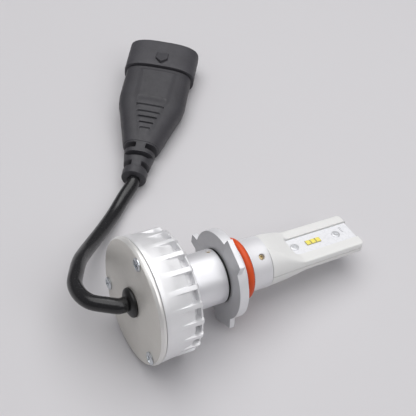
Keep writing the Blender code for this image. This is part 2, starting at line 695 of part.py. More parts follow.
def make_post_half(name, side, mats, frame):
    """Half of the post. side is 1 for the upper half and -1 for the lower one."""
    parting = GAP / 2
    wide = 2 * POST_R
    outline = [
        (POST_REAR_X - MM, parting),
        (POST_REAR_X - MM, POST_R + MM),
        (POST_REAR_X + 0.3 * MM, POST_R + 0.1 * MM),
        (BLADE_X, BLADE_HALF_T),
        (POST_FRONT_X + MM, BLADE_HALF_T),
        (POST_FRONT_X + MM, parting),
    ]
    half = make_object(name, post_outer(), mats["white"], frame)
    keep = slab([Vector((x, -wide / 2, side * z)) for x, z in outline], Vector((0, wide, 0)))
    combine(half, make_cutter(name + "_side", keep, frame), "INTERSECT")
    socket = turned(plain_rod(POST_REAR_X - MM, SPIGOT_FRONT_X + GAP, SPIGOT_R + GAP))
    combine(half, make_cutter(name + "_socket", socket, frame), "DIFFERENCE")
    top = CORE_T / 2 + THIN_GAP
    bed_width = 2 * (CORE_HALF_W + GAP)
    length = POST_LEN + 4 * MM
    centre_x = POST_REAR_X + length / 2 - MM
    bed = block((length, bed_width, 2 * top), (centre_x, 0, 0))
    combine(half, make_cutter(name + "_bed", bed, frame), "DIFFERENCE")
    window_rear = POST_FRONT_X - LED_BOARD_LEN - GAP
    window_width = 2 * (LED_BOARD_HALF_W + GAP)
    window_len = LED_BOARD_LEN + 4 * MM
    window_at = (window_rear + window_len / 2, 0, side * 6 * MM)
    window = block((window_len, window_width, 12 * MM), window_at)
    combine(half, make_cutter(name + "_window", window, frame), "DIFFERENCE")
    groove_len = window_rear - POST_REAR_X + 2 * MM
    groove_top = top + THIN_GAP + 2 * WIRE_R + WIRE_HEADROOM
    groove_size = (groove_len, 2 * (WIRE_R + SCREW_FIT), 2 * groove_top)
    groove = block(groove_size, (POST_REAR_X - MM + groove_len / 2, 0, 0))
    combine(half, make_cutter(name + "_wire_groove", groove, frame), "DIFFERENCE")
    return half


def make_lamp(mats, frame):
    """Core plate, the post's two halves, and on each face a board with its chips, screws and lead wire."""
    front = POST_FRONT_X - 0.4 * MM
    plate = block((front - CORE_REAR_X, 2 * CORE_HALF_W, CORE_T), ((front + CORE_REAR_X) / 2, 0, 0))
    core = make_object("core_plate", plate, mats["copper"], frame)
    board_screws = [CHIPS_X + offset for offset in BOARD_SCREW_OFFSETS]
    holes = bmesh.new()
    for x in board_screws:
        copy_into(drilled(BOARD_SCREW_R + SCREW_FIT, x, -3 * MM, 3 * MM), holes)
    combine(core, make_cutter("core_plate_holes", holes, frame), "DIFFERENCE")
    for side, word in ((1, "upper"), (-1, "lower")):
        make_post_half(f"post_half_{word}", side, mats, frame)
        make_led_side(word, side, board_screws, mats, frame)


def make_led_side(word, side, board_screws, mats, frame):
    """One LED board with its chips, screws and wire. side is 1 above the core plate and -1 below it."""
    board_x = POST_FRONT_X - LED_BOARD_LEN / 2
    board_z = side * (LED_BOARD_Z + LED_BOARD_T / 2)
    size = (LED_BOARD_LEN - 2 * GAP, 2 * LED_BOARD_HALF_W, LED_BOARD_T)
    board = make_object(f"led_board_{word}", block(size, (board_x, 0, board_z)), mats["mask"], frame)
    holes = bmesh.new()
    for x in board_screws:
        copy_into(drilled(BOARD_SCREW_R + SCREW_FIT, x, side * 0.3 * MM, side * 3 * MM), holes)
    combine(board, make_cutter(f"led_board_{word}_holes", holes, frame), "DIFFERENCE")
    top = LED_BOARD_TOP_Z + THIN_GAP
    for number in range(CHIP_COUNT):
        x = CHIPS_X + (number - (CHIP_COUNT - 1) / 2) * CHIP_PITCH
        chip = block((CHIP_LEN, CHIP_W, CHIP_T), (x, 0, side * (top + CHIP_T / 2)))
        make_object(f"led_chip_{word}_{number + 1}", chip, mats["phosphor"], frame)
    for number, x in enumerate(board_screws, 1):
        down = Vector((1, 0, 0)).rotation_difference(Vector((0, 0, -side))).to_matrix().to_4x4()
        spin = Matrix.Rotation(math.radians(20 + 35 * number), 4, "X")
        place = Matrix.Translation((x, 0, side * top)) @ down @ spin
        size = (BOARD_SCREW_HEAD_R, BOARD_SCREW_HEAD_T, BOARD_SCREW_R, top - GAP / 2)
        make_screw(f"board_screw_{word}_{number}", size, mats["steel"], frame, place)
    wire_rear = CAVITY_FLOOR_X - BOARD_STANDOFF + GAP
    wire_front = POST_FRONT_X - LED_BOARD_LEN - GAP
    wire = turned(plain_rod(wire_rear, wire_front, WIRE_R), 10)
    z = side * (CORE_T / 2 + THIN_GAP + WIRE_R + THIN_GAP)
    make_object(f"lead_wire_{word}", wire, mats["wire"], frame, (0, 0, z))


def make_plug(mats, frame):
    """The connector: an open shell with two flat terminals, and a moulded body with its strain relief."""
    shell_back = SHELL_LEN
    half_w, half_h = SHELL_W / 2, SHELL_H / 2
    edge = 0.4 * MM
    outside = [
        (0, half_w - edge, half_h - edge, 3.0),
        (edge, half_w, half_h, 3.0),
        (shell_back - edge, half_w, half_h, 3.0),
        (shell_back, half_w - edge, half_h - edge, 3.0),
    ]
    shell = make_object("plug_shell", lofted(outside, 44), mats["plug"], frame)
    wall = SHELL_WALL
    inside = [(-MM, half_w - wall, half_h - wall, 3.0), (SOCKET_DEPTH, half_w - wall, half_h - wall, 3.0)]
    combine(shell, make_cutter("plug_shell_socket", lofted(inside, 44), frame), "DIFFERENCE")
    bump_x = SHELL_LEN / 2 - 0.3 * MM
    plan = [(0, -0.5), (0, 0.5), (0.62, 0.5), (1, 0), (0.62, -0.5)]
    low = [Vector((bump_x + BUMP_LEN * u, BUMP_W * v, half_h - MM)) for u, v in plan]
    high = [corner + Vector((0, 0, MM + BUMP_H * (0.15 + 0.85 * u))) for corner, (u, v) in zip(low, plan)]
    combine(shell, make_cutter("plug_shell_bump", between(low, high), frame), "UNION")
    slots = bmesh.new()
    for y in (-TERMINAL_PITCH / 2, TERMINAL_PITCH / 2):
        size = (2 * SHELL_LEN, TERMINAL_W + 2 * SCREW_FIT, TERMINAL_T + 2 * SCREW_FIT)
        block(size, (SHELL_LEN, y, 0), None, slots)
    combine(shell, make_cutter("plug_shell_slots", slots, frame), "DIFFERENCE")
    for number, y in enumerate((-TERMINAL_PITCH / 2, TERMINAL_PITCH / 2), 1):
        rear, front = SHELL_LEN - GAP, SHELL_LEN - GAP - TERMINAL_LEN
        tip = 0.8 * MM
        sides = [(rear, -0.5), (rear, 0.5), (front + tip, 0.5)]
        sides += [(front, 0.25), (front, -0.25), (front + tip, -0.5)]
        corners = [Vector((x, TERMINAL_W * v, -TERMINAL_T / 2)) for x, v in sides]
        blade = slab(corners, Vector((0, 0, TERMINAL_T)))
        make_object(f"plug_terminal_{number}", blade, mats["steel"], frame, (0, y, 0))
    make_plug_body(mats, frame)


def make_plug_body(mats, frame):
    """The moulded body: a flat bottle shape that narrows to a slotted strain relief and a round collar."""
    start = SHELL_LEN + GAP
    relief_w, relief_h = RELIEF_W / 2, RELIEF_H / 2
    tail = TAIL_D / 2
    half_w, half_h = BODY_W / 2, BODY_H / 2
    ring_x = PLUG_LEN - RING_LEN
    stations = [
        (start, half_w - 0.3 * MM, half_h - 0.3 * MM, 3.4),
        (start + 0.4 * MM, half_w, half_h, 3.4),
        (BODY_STRAIGHT - 3 * MM, half_w, half_h, 3.4),
        (BODY_STRAIGHT + 1.5 * MM, half_w * 0.965, half_h * 0.99, 3.2),
        (BODY_STRAIGHT + 6 * MM, half_w * 0.86, half_h * 0.97, 3.0),
        (RELIEF_START - 1.5 * MM, relief_w + 0.6 * MM, relief_h + 0.2 * MM, 2.8),
        (RELIEF_START, relief_w, relief_h, 2.8),
        (RELIEF_START + 0.3 * MM, relief_w * 0.93, relief_h * 0.95, 2.6),
        (ring_x, tail * 0.95, tail * 0.95, 2.2),
        (ring_x + 0.3 * MM, tail, tail, 2.0),
        (PLUG_LEN - 0.4 * MM, tail, tail, 2.0),
        (PLUG_LEN, tail - 0.4 * MM, tail - 0.4 * MM, 2.0),
    ]
    body = make_object("plug_overmould", lofted(stations, 40), mats["plug"], frame)
    plan = [(20, -8.0), (20, 8.0), (36, 7.3), (57, 2.4), (57, -2.4), (36, -7.3)]
    low = [Vector((s * MM, y * MM, half_h * 0.7)) for s, y in plan]
    high = [Vector((s * MM, y * MM, half_h * (1.045 - 0.002 * max(0, s - 34)))) for s, y in plan]
    combine(body, make_cutter("plug_overmould_panel", between(low, high), frame), "UNION")
    cuts = bmesh.new()
    for s, half in GRIP_LINES:
        block((GRIP_LINE_W, 2 * half * MM, 2 * MM), (s * MM, 0, half_h + 0.15 * MM), None, cuts)
    for s in (RELIEF_START + 2.2 * MM, ring_x - 2.0 * MM):
        for side in (-1, 1):
            block((RELIEF_SLOT_W, 10 * MM, 20 * MM), (s, side * 7.6 * MM, 0), None, cuts)
    for side in (-1, 1):
        middle = (RELIEF_START + 6.6 * MM, 0, side * 7.9 * MM)
        block((RELIEF_SLOT_W, 20 * MM, 10 * MM), middle, None, cuts)
    combine(body, make_cutter("plug_overmould_cuts", cuts, frame), "DIFFERENCE")


def make_cable(mats, start, leaving, end, entering):
    """The lead between the grommet and the plug: straight at both ends, and smooth through the route."""
    points = [start, start + leaving * EXIT_STRAIGHT, *ROUTE, end - entering * EXIT_STRAIGHT, end]
    curve = bpy.data.curves.new("cable", "CURVE")
    curve.dimensions = "3D"
    curve.bevel_depth = CABLE_D / 2
    curve.bevel_resolution = 3
    curve.use_fill_caps = True
    path = smooth_path(points, ROUTE_SAMPLES)
    path[1] = start + leaving * (path[1] - start).length
    path[-2] = end - entering * (end - path[-2]).length
    spline = curve.splines.new("POLY")
    spline.points.add(len(path) - 1)
    for target, point in zip(spline.points, path):
        target.co = (*point, 1.0)
    cable = bpy.data.objects.new("cable", curve)
    curve.materials.append(mats["jacket"])
    bpy.context.scene.collection.objects.link(cable)


def smooth_path(points, count):
    """Evenly spaced points on the Catmull-Rom curve through the given points."""
    ends = [2 * points[0] - points[1], *points, 2 * points[-1] - points[-2]]
    dense = []
    for a, b, c, d in zip(ends, ends[1:], ends[2:], ends[3:]):
        for k in range(20):
            t = k / 20
            square, cube = 2 * a - 5 * b + 4 * c - d, 3 * b - a - 3 * c + d
            dense.append(0.5 * (2 * b + (c - a) * t + square * t**2 + cube * t**3))
    dense.append(points[-1])
    along = [0.0]
    for p, q in zip(dense, dense[1:]):
        along.append(along[-1] + (q - p).length)
    path = []
    for k in range(count):
        wanted = along[-1] * k / (count - 1)
        i = max(1, next(n for n, s in enumerate(along) if s >= wanted - 1e-12))
        t = (wanted - along[i - 1]) / (along[i] - along[i - 1])
        path.append(dense[i - 1].lerp(dense[i], t))
    return path


def bulb_rest():
    """The bulb's pitch and height: it lies on the front ends of two ribs and on a corner of one lug."""
    down = 180 + BULB_ROLL
    rib_front = SINK_FRONT_X - 0.05 * MM - RIB_CORNER
    half = math.degrees(math.asin(RIB_W / 2 / RIB_R))
    corner = math.hypot(RIB_R, RIB_W / 2)
    drops = []
    for k in range(RIB_COUNT):
        angle = RIB_PHASE + 360 * k / RIB_COUNT
        drops += [corner * math.cos(math.radians(angle + side * half - down)) for side in (-1, 1)]
    rib_drop = max(drops)
    lug_drop = max(LUG_R * math.cos(math.radians(a - down)) for lug in LUGS for a in lug[1:3])
    lug_front = FLANGE_BACK_X + LUG_T
    pitch = math.atan((rib_drop - lug_drop) / (lug_front - rib_front))
    return pitch, lug_drop * math.cos(pitch) + lug_front * math.sin(pitch)


def plug_rest():
    """The plug's pitch and height: it lies on its shell's rear edge and its round tail."""
    roll = math.radians(PLUG_ROLL)
    outline = superellipse(SHELL_W / 2, SHELL_H / 2, 3.0, 44)
    shell_drop = max(y * math.sin(roll) + z * math.cos(roll) for y, z in outline)
    shell_x = SHELL_LEN - 0.4 * MM
    pitch = math.asin((shell_drop - TAIL_D / 2) / (PLUG_LEN - 0.4 * MM - shell_x))
    height = shell_drop * math.cos(pitch) + shell_x * math.sin(pitch)
    return pitch, height


def main():
    clear_scene()
    mats = make_materials()
    pitch, height = bulb_rest()
    at = (BULB_X, 0, height + REST_GAP)
    frame = make_empty("bulb_frame", None, at, (math.radians(-BULB_ROLL), pitch, 0))
    make_heat_sink(mats, frame)
    make_rear_cover(mats, frame)
    make_grommet(mats, frame)
    make_driver(mats, frame)
    make_neck(mats, frame)
    make_lamp(mats, frame)
    turn = make_empty("collar_axis", frame)
    make_collar(mats, turn)
    pitch, height = plug_rest()
    turned_to = math.radians(PLUG_AZIMUTH + 180)
    at = (PLUG_AT.x, PLUG_AT.y, height + REST_GAP)
    plug = make_empty("plug_frame", None, at, (math.radians(-PLUG_ROLL), pitch, turned_to))
    make_plug(mats, plug)
    bpy.context.view_layer.update()
    start = frame.matrix_world @ Vector((GROMMET_REAR_X - GAP, 0, 0))
    end = plug.matrix_world @ Vector((PLUG_LEN + GAP, 0, 0))
    leaving = frame.matrix_world.to_3x3() @ Vector((-1, 0, 0))
    entering = plug.matrix_world.to_3x3() @ Vector((-1, 0, 0))
    make_cable(mats, start, leaving, end, entering)


main()
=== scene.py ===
"""LED headlight bulb with its lead and plug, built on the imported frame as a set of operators.

Shapes are worked out in millimetres in the bulb's or the plug's own axes, and placed in metres.
Bulb axes: X runs along the bulb to its lamp end, x = 0 is the flange's front face, and angles turn
from Z (the upper board's side) towards -Y. Plug axes: X runs from the mouth's centre back to the lead.
"""

import json
import math

import bmesh
import bpy
import numpy as np
from bpy.props import FloatProperty, FloatVectorProperty, PointerProperty
from mathutils import Matrix, Vector


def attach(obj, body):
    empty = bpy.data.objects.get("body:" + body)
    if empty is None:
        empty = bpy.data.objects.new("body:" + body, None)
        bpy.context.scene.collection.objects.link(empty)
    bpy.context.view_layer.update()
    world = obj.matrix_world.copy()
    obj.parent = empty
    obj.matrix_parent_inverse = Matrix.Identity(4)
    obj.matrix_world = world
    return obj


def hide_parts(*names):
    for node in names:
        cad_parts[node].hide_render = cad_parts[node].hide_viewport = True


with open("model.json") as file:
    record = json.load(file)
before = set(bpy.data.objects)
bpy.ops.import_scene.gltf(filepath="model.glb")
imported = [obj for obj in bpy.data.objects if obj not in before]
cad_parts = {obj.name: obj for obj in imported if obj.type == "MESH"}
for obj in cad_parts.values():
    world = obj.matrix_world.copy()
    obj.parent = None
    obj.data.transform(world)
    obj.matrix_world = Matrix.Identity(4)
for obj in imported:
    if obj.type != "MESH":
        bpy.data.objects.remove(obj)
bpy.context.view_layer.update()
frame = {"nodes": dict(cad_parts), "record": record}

bl_info = {
    "name": "Headlight Bulb",
    "version": (1, 0, 0),
    "blender": (4, 5, 0),
    "location": "3D View > Sidebar > Bulb",
    "description": "Builds an LED headlight bulb, its lead and its plug on the packed frame",
    "category": "Add Mesh",
}

JOINT = frame["record"]["behaviour"]["joints"][0]
MOUTH = next(m for m in frame["record"]["mounts"] if m["name"] == "plug_mouth")
BULB_ROLL = -5.2
PLUG_ROLL = -6.0


class Place:
    """Axes that turn a local point in millimetres into a point in metres."""

    def __init__(self, origin, x_axis, roll):
        x = np.array(x_axis, float) / np.linalg.norm(x_axis)
        y = np.cross((0, 0, 1), x)
        y /= np.linalg.norm(y)
        z = np.cross(x, y)
        c, s = math.cos(math.radians(roll)), math.sin(math.radians(roll))
        self.axes = np.column_stack([x, c * y + s * z, c * z - s * y])
        self.origin = np.array(origin, float)

    def points(self, local):
        return np.asarray(local, float) @ self.axes.T * 0.001 + self.origin

    def euler(self):
        return Matrix(self.axes.tolist()).to_euler()


BULB = Place(JOINT["pos_m"], JOINT["axis"], BULB_ROLL)
PLUG = Place(MOUTH["pos_m"], [-v for v in MOUTH["axis"]], PLUG_ROLL)

# Places along the bulb's axis and radii in millimetres, and angles in degrees
SINK_REAR, SINK_FRONT = -35.0, -20.7
CAVITY_RADIUS, SLOT_RADIUS, RIB_RADIUS = 17.4, 18.6, 22.52
RIBS, RIB_PHASE = 22, -4.0
COVER_REAR, COVER_FRONT = -37.3, -35.3
COVER_RADIUS, COVER_SCREW_CIRCLE = 23.1, 20.2
COVER_SCREWS = (7.5, 127.5, 247.5)
NECK_REAR, NECK_FRONT, SPIGOT_FRONT = -20.4, -4.5, 16.0
NECK_RADIUS, SPIGOT_RADIUS, SLEEVE_BORE = 10.1, 7.6, 5.9
NECK_SCREW_X, NECK_SCREW_ANGLE = -6.3, -21.0
FLANGE_BACK, HUB_FRONT, HUB_RADIUS, BASE_BORE = -3.7, 14.2, 9.7, 7.68
HUB_SCREW_X, HUB_SCREW_ANGLE = 10.9, 33.0
GRUB_RADIUS = 0.92
LUGS = ((6.5, 10.5, 42.0, 49.0), (133.5, 142.5, 172.0, 177.0), (266.0, 269.0, 279.5, 282.5))
LUG_RADIUS, FLANGE_RADIUS, LUG_FRONT = 20.06, 16.5, -1.7
POST_REAR, POST_FRONT, BLADE_X, BLADE_TOP = 14.5, 55.1, 28.4, 2.2
WINDOW_REAR = 26.6
CHIPS_X, CHIP_PITCH = 37.5, 2.15
BOARD_SCREWS = (29.3, 47.9)
PAD_Z = 1.635
PLUG_LENGTH, TAIL_SPACE = 77.0, 0.3
# Distance from the mouth and half length of each grip line on the plug
GRIP_LINES = ((40.3, 6.1), (43.9, 5.1), (47.0, 4.2), (50.2, 3.2), (53.3, 2.4))
LEAD_STRAIGHT = 0.0024

# The lead's route in metres, the same as its solid's
ROUTE = (
    (-0.0524, 0.0020, 0.0257),
    (-0.0569, 0.0060, 0.0254),
    (-0.0587, 0.0114, 0.0242),
    (-0.0582, 0.0182, 0.0220),
    (-0.0550, 0.0250, 0.0195),
    (-0.0512, 0.0318, 0.0162),
    (-0.0462, 0.0382, 0.0122),
    (-0.0402, 0.0446, 0.0086),
    (-0.0336, 0.0511, 0.0057),
    (-0.0269, 0.0574, 0.0039),
    (-0.0200, 0.0634, 0.0040),
)


# ---------------------------------------------------------------- sizes and colours


def length_field(name, text, value):
    return FloatProperty(name=name, description=text, default=value, min=0, unit="LENGTH", precision=5)


def number_field(name, text, value):
    return FloatProperty(name=name, description=text, default=value, min=0)


def colour_field(name, text, value):
    return FloatVectorProperty(
        name=name, description=text, subtype="COLOR", size=3, min=0, max=1, default=value
    )


class BulbSizes(bpy.types.PropertyGroup):
    """Sizes of the lead and its grip, the camera's lens and the strength of each light"""

    cable: length_field("Lead", "Diameter of the lead", 0.0056)
    grip_depth: length_field("Grip slots", "Depth of the plug's grip slots", 0.0007)
    lens: number_field("Camera lens", "Focal length on a 36 mm sensor, in mm", 82.2)
    key_power: number_field("Key light", "Power of the key light in watts", 0.4)
    top_power: number_field("Top light", "Power of the overhead light in watts", 6.1)
    fill_power: number_field("Front light", "Power of the front light in watts", 1.35)
    room: number_field("Room light", "Strength of the room's light", 0.235)


class BulbColours(bpy.types.PropertyGroup):
    """Colours of the finishes"""

    silver: colour_field("Cast aluminium", "Heat sink", (0.90, 0.90, 0.91))
    turned: colour_field("Turned aluminium", "Neck and base", (0.80, 0.80, 0.82))
    cover: colour_field("Cover", "Rear cover's face", (0.74, 0.72, 0.675))
    post: colour_field("Post", "Painted post", (0.83, 0.83, 0.815))
    board: colour_field("Board", "LED boards' solder mask", (0.86, 0.865, 0.89))
    phosphor: colour_field("Phosphor", "LED chips", (0.93, 0.80, 0.12))
    seal: colour_field("Seal", "Seal ring", (0.72, 0.085, 0.015))
    rubber: colour_field("Rubber", "Grommet and gaskets", (0.006, 0.006, 0.006))
    jacket: colour_field("Jacket", "Lead", (0.010, 0.010, 0.011))
    plug: colour_field("Plug", "Plug's plastic", (0.036, 0.035, 0.040))
    steel: colour_field("Steel", "Screws", (0.62, 0.65, 0.68))
    brass: colour_field("Brass", "Set screws", (0.62, 0.50, 0.30))
    floor: colour_field("Floor", "Table and backdrop", (0.64, 0.63, 0.645))


def sizes():
    """The sizes that the sidebar shows."""
    return bpy.context.scene.bulb_sizes


def colours():
    """The colours that the sidebar shows."""
    return bpy.context.scene.bulb_colours


# ---------------------------------------------------------------- shapes as arrays


def smooth(value, low, high):
    """0 below low, 1 above high, and a cubic between."""
    t = np.clip((value - low) / (high - low), 0, 1)
    return t * t * (3 - 2 * t)


def rounded(points, radius, closed=True, steps=4):
    """A polyline whose corners are quadratic arcs: each starts and ends one radius from its corner, or
    less where a side is short. radius is one number or one for each corner."""
    p = np.asarray(points, float)
    n = len(p)
    before, after = np.roll(p, 1, 0) - p, np.roll(p, -1, 0) - p
    len_b, len_a = np.linalg.norm(before, axis=1), np.linalg.norm(after, axis=1)
    r = np.minimum(np.broadcast_to(radius, (n,)), 0.45 * np.minimum(len_b, len_a))
    if not closed:
        r = r.copy()
        r[0] = r[-1] = 0
    start = p + before / np.maximum(len_b, 1e-12)[:, None] * r[:, None]
    end = p + after / np.maximum(len_a, 1e-12)[:, None] * r[:, None]
    t = np.linspace(0, 1, steps + 1)[None, :, None]
    arc = (1 - t) ** 2 * start[:, None] + 2 * t * (1 - t) * p[:, None] + t**2 * end[:, None]
    return arc.reshape(-1, 2)


def turn(x, radius, degrees):
    """Points at distances along the axis, radii and angles, from arrays that broadcast together."""
    x, radius, a = np.broadcast_arrays(x, radius, np.radians(degrees))
    return np.stack([x, -radius * np.sin(a), radius * np.cos(a)], axis=-1)


def lathe(profile, angles=128):
    """A grid with one row for each (x, radius) of a profile and one column for each angle. angles is a
    number of even steps, or the angles themselves."""
    if np.isscalar(angles):
        angles = np.linspace(0, 360, angles, endpoint=False)
    profile = np.asarray(profile, float)
    return turn(profile[:, :1], profile[:, 1:], angles[None, :])


def with_fine(coarse, centre, reach, step):
    """Sample positions with extra ones close to a centre."""
    fine = np.arange(centre - reach, centre + reach + step / 2, step)
    kept = coarse[(coarse < centre - reach - step) | (coarse > centre + reach + step)]
    return np.sort(np.concatenate([kept, fine]))


def dent(grid, angle, x, radius, depth):
    """Pushes the outside of a turned grid in round a hole's centre, with steep walls."""
    r = np.hypot(grid[..., 1], grid[..., 2])
    a = np.degrees(np.arctan2(-grid[..., 1], grid[..., 2]))
    across = np.radians((a - angle + 180) % 360 - 180) * r
    reach = np.hypot(across, grid[..., 0] - x)
    outside = r > np.median(r[np.abs(grid[..., 0] - x) < 2.0]) - 0.5
    push = depth * (1 - smooth(reach, radius - 0.10, radius + 0.05)) * outside
    scale = (r - push) / np.maximum(r, 1e-9)
    out = grid.copy()
    out[..., 1] *= scale
    out[..., 2] *= scale
    return out


def superellipse(half_w, half_h, power, angles):
    """y and z of |y/w|^p + |z/h|^p = 1 at the given directions."""
    c, s = np.cos(angles), np.sin(angles)
    length = (np.abs(c) ** power + np.abs(s) ** power) ** (1 / power)
    return half_w * c / length, half_h * s / length


# ---------------------------------------------------------------- arrays into objects


def mesh_object(name, verts, faces, sharp=32.0):
    """An object from points in metres and quads, closed at its seams and poles, faces outwards."""
    mesh = bpy.data.meshes.new(name)
    mesh.vertices.add(len(verts))
    mesh.vertices.foreach_set("co", np.asarray(verts, np.float32).ravel())
    mesh.loops.add(faces.size)
    mesh.loops.foreach_set("vertex_index", faces.astype(np.int32).ravel())
    mesh.polygons.add(len(faces))
    mesh.polygons.foreach_set("loop_start", np.arange(0, faces.size, faces.shape[1], dtype=np.int32))
    mesh.update(calc_edges=True)
    mesh.validate()
    bm = bmesh.new()
    bm.from_mesh(mesh)
    bmesh.ops.remove_doubles(bm, verts=bm.verts, dist=1e-6)
    bmesh.ops.recalc_face_normals(bm, faces=bm.faces)
    bm.to_mesh(mesh)
    bm.free()
    mesh.shade_smooth()
    mesh.set_sharp_from_angle(angle=math.radians(sharp))
    obj = bpy.data.objects.new(name, mesh)
    bpy.context.scene.collection.objects.link(obj)
    return obj


def grid_faces(rows, cols, wrap_rows, wrap_cols):
    """Quads between neighbouring rows and columns of a grid."""
    index = np.arange(rows * cols).reshape(rows, cols)
    down = np.roll(index, -1, 0) if wrap_rows else index[1:]
    top = index if wrap_rows else index[:-1]
    if wrap_cols:
        quads = [top, np.roll(top, -1, 1), np.roll(down, -1, 1), down]
    else:
        quads = [top[:, :-1], top[:, 1:], down[:, 1:], down[:, :-1]]
    return np.stack(quads, -1).reshape(-1, 4)


def grid_object(name, grid, place, wrap_rows=True, wrap_cols=True, sharp=32.0):
    faces = grid_faces(grid.shape[0], grid.shape[1], wrap_rows, wrap_cols)
    return mesh_object(name, place.points(grid.reshape(-1, 3)), faces, sharp)


def shell_object(name, top, bottom, place, sharp=32.0):
    """A solid between two open grids of the same shape: both surfaces and the strip round their border."""
    rows, cols = top.shape[:2]
    skin = grid_faces(rows, cols, False, False)
    index = np.arange(rows * cols).reshape(rows, cols)
    loop = np.concatenate([index[0, :-1], index[:-1, -1], index[-1, :0:-1], index[:0:-1, 0]])
    after = np.roll(loop, -1)
    base = rows * cols
    rim = np.stack([loop, after, after + base, loop + base], -1)
    verts = np.concatenate([top.reshape(-1, 3), bottom.reshape(-1, 3)])
    return mesh_object(name, place.points(verts), np.concatenate([skin, skin[:, ::-1] + base, rim]), sharp)


def blocks_object(name, centres, block, place, bevel):
    """Boxes of sizes block (n, 3) about centres (n, 3), with rounded edges."""
    corner = np.array([[i, j, k] for i in (-0.5, 0.5) for j in (-0.5, 0.5) for k in (-0.5, 0.5)])
    centres, block = np.atleast_2d(centres), np.atleast_2d(block)
    verts = centres[:, None] + corner[None] * block[:, None]
    box = np.array([[0, 1, 3, 2], [4, 6, 7, 5], [0, 4, 5, 1], [2, 3, 7, 6], [0, 2, 6, 4], [1, 5, 7, 3]])
    faces = (box[None] + 8 * np.arange(len(centres))[:, None, None]).reshape(-1, 4)
    obj = mesh_object(name, place.points(verts.reshape(-1, 3)), faces)
    soften(obj, bevel)
    return obj


def soften(obj, width, segments=2):
    bevel = obj.modifiers.new("rounded_edges", "BEVEL")
    bevel.width = width
    bevel.segments = segments
    bevel.limit_method = "ANGLE"
    bevel.harden_normals = False


def finish_piece(obj, material, slot, body, *nodes):
    """Gives a piece its material and its body, and lets it stand for CAD nodes. slot is not used."""
    obj.data.materials.clear()
    obj.data.materials.append(material)
    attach(obj, body)
    if nodes:
        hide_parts(*nodes)
    return obj


def add(name, grid, finish, slot, body, *nodes, place=BULB, closed=True, sharp=32.0):
    """Makes a grid into a finished piece. closed says that its rows wrap round as its columns do."""
    obj = grid_object(name, grid, place, closed, True, sharp)
    return finish_piece(obj, material(finish), slot, body, *nodes)


def dress_node(name, finish):
    """Gives a CAD node that stays its material."""
    obj = frame["nodes"][name]
    if not obj.material_slots:
        obj.data.materials.append(material(finish))
    for slot in obj.material_slots:
        slot.material = material(finish)


# ---------------------------------------------------------------- materials


class Finish:
    """A procedural material: noise in colour, roughness and relief on Object coordinates."""

    def __init__(self, name, base, roughness, metallic=0.0, place=BULB):
        self.material = bpy.data.materials.new(name)
        self.material.use_nodes = True
        self.tree = self.material.node_tree
        self.shader = self.tree.nodes["Principled BSDF"]
        self.base = (*base, 1.0)
        self.shader.inputs["Base Color"].default_value = self.base
        self.shader.inputs["Roughness"].default_value = roughness
        self.shader.inputs["Metallic"].default_value = metallic
        coords = self.node("ShaderNodeTexCoord")
        mapping = self.node("ShaderNodeMapping")
        mapping.vector_type = "TEXTURE"
        mapping.inputs["Location"].default_value = place.origin.tolist()
        mapping.inputs["Rotation"].default_value = place.euler()
        self.link(coords.outputs["Object"], mapping.inputs["Vector"])
        self.local = mapping.outputs["Vector"]
        self.normal = None

    def node(self, kind):
        return self.tree.nodes.new(kind)

    def link(self, a, b):
        self.tree.links.new(a, b)

    def math(self, operation, a, b=None):
        node = self.node("ShaderNodeMath")
        node.operation = operation
        for socket, value in zip(node.inputs, (a, b)):
            if value is None:
                continue
            if isinstance(value, (int, float)):
                socket.default_value = value
            else:
                self.link(value, socket)
        return node.outputs[0]

    def noise(self, scale, detail=3.0, stretch=None, vector=None, rough=0.55):
        """Noise with features of about 1 / scale metres."""
        texture = self.node("ShaderNodeTexNoise")
        texture.inputs["Scale"].default_value = scale
        texture.inputs["Detail"].default_value = detail
        texture.inputs["Roughness"].default_value = rough
        source = vector or self.local
        if stretch:
            squeeze = self.node("ShaderNodeMapping")
            squeeze.inputs["Scale"].default_value = stretch
            self.link(source, squeeze.inputs["Vector"])
            source = squeeze.outputs["Vector"]
        self.link(source, texture.inputs["Vector"])
        return texture.outputs["Fac"]

    def turned_vector(self):
        """(distance along the axis, radius, 0): noise on it makes lathe marks."""
        split = self.node("ShaderNodeSeparateXYZ")
        self.link(self.local, split.inputs[0])
        squares = self.math("ADD", *(self.math("POWER", split.outputs[k], 2.0) for k in (1, 2)))
        join = self.node("ShaderNodeCombineXYZ")
        self.link(split.outputs[0], join.inputs[0])
        self.link(self.math("SQRT", squares), join.inputs[1])
        return join.outputs[0]

    def span(self, value, low, high, ends=(0.3, 0.7)):
        node = self.node("ShaderNodeMapRange")
        self.link(value, node.inputs["Value"])
        limits = (("From Min", ends[0]), ("From Max", ends[1]), ("To Min", low), ("To Max", high))
        for key, limit in limits:
            node.inputs[key].default_value = limit
        return node.outputs["Result"]

    def vary_colour(self, mask, other):
        mix = self.node("ShaderNodeMix")
        mix.data_type = "RGBA"
        self.link(mask, mix.inputs["Factor"])
        mix.inputs["A"].default_value = self.base
        mix.inputs["B"].default_value = (*other, 1.0)
        source = self.shader.inputs["Base Color"]
        if source.is_linked:
            self.link(source.links[0].from_socket, mix.inputs["A"])
        self.link(mix.outputs["Result"], source)
        return self

    def vary_roughness(self, mask, low, high):
        self.link(self.span(mask, low, high), self.shader.inputs["Roughness"])
        return self

    def relief(self, height, distance):
        """Adds bumps of a depth in metres."""
        bump = self.node("ShaderNodeBump")
        bump.inputs["Distance"].default_value = distance
        bump.inputs["Strength"].default_value = 1.0
        self.link(height, bump.inputs["Height"])
        if self.normal:
            self.link(self.normal, bump.inputs["Normal"])
        self.normal = bump.outputs["Normal"]
        self.link(self.normal, self.shader.inputs["Normal"])
        return self


def shade(base, factor):
    return tuple(min(1.0, c * factor) for c in base)


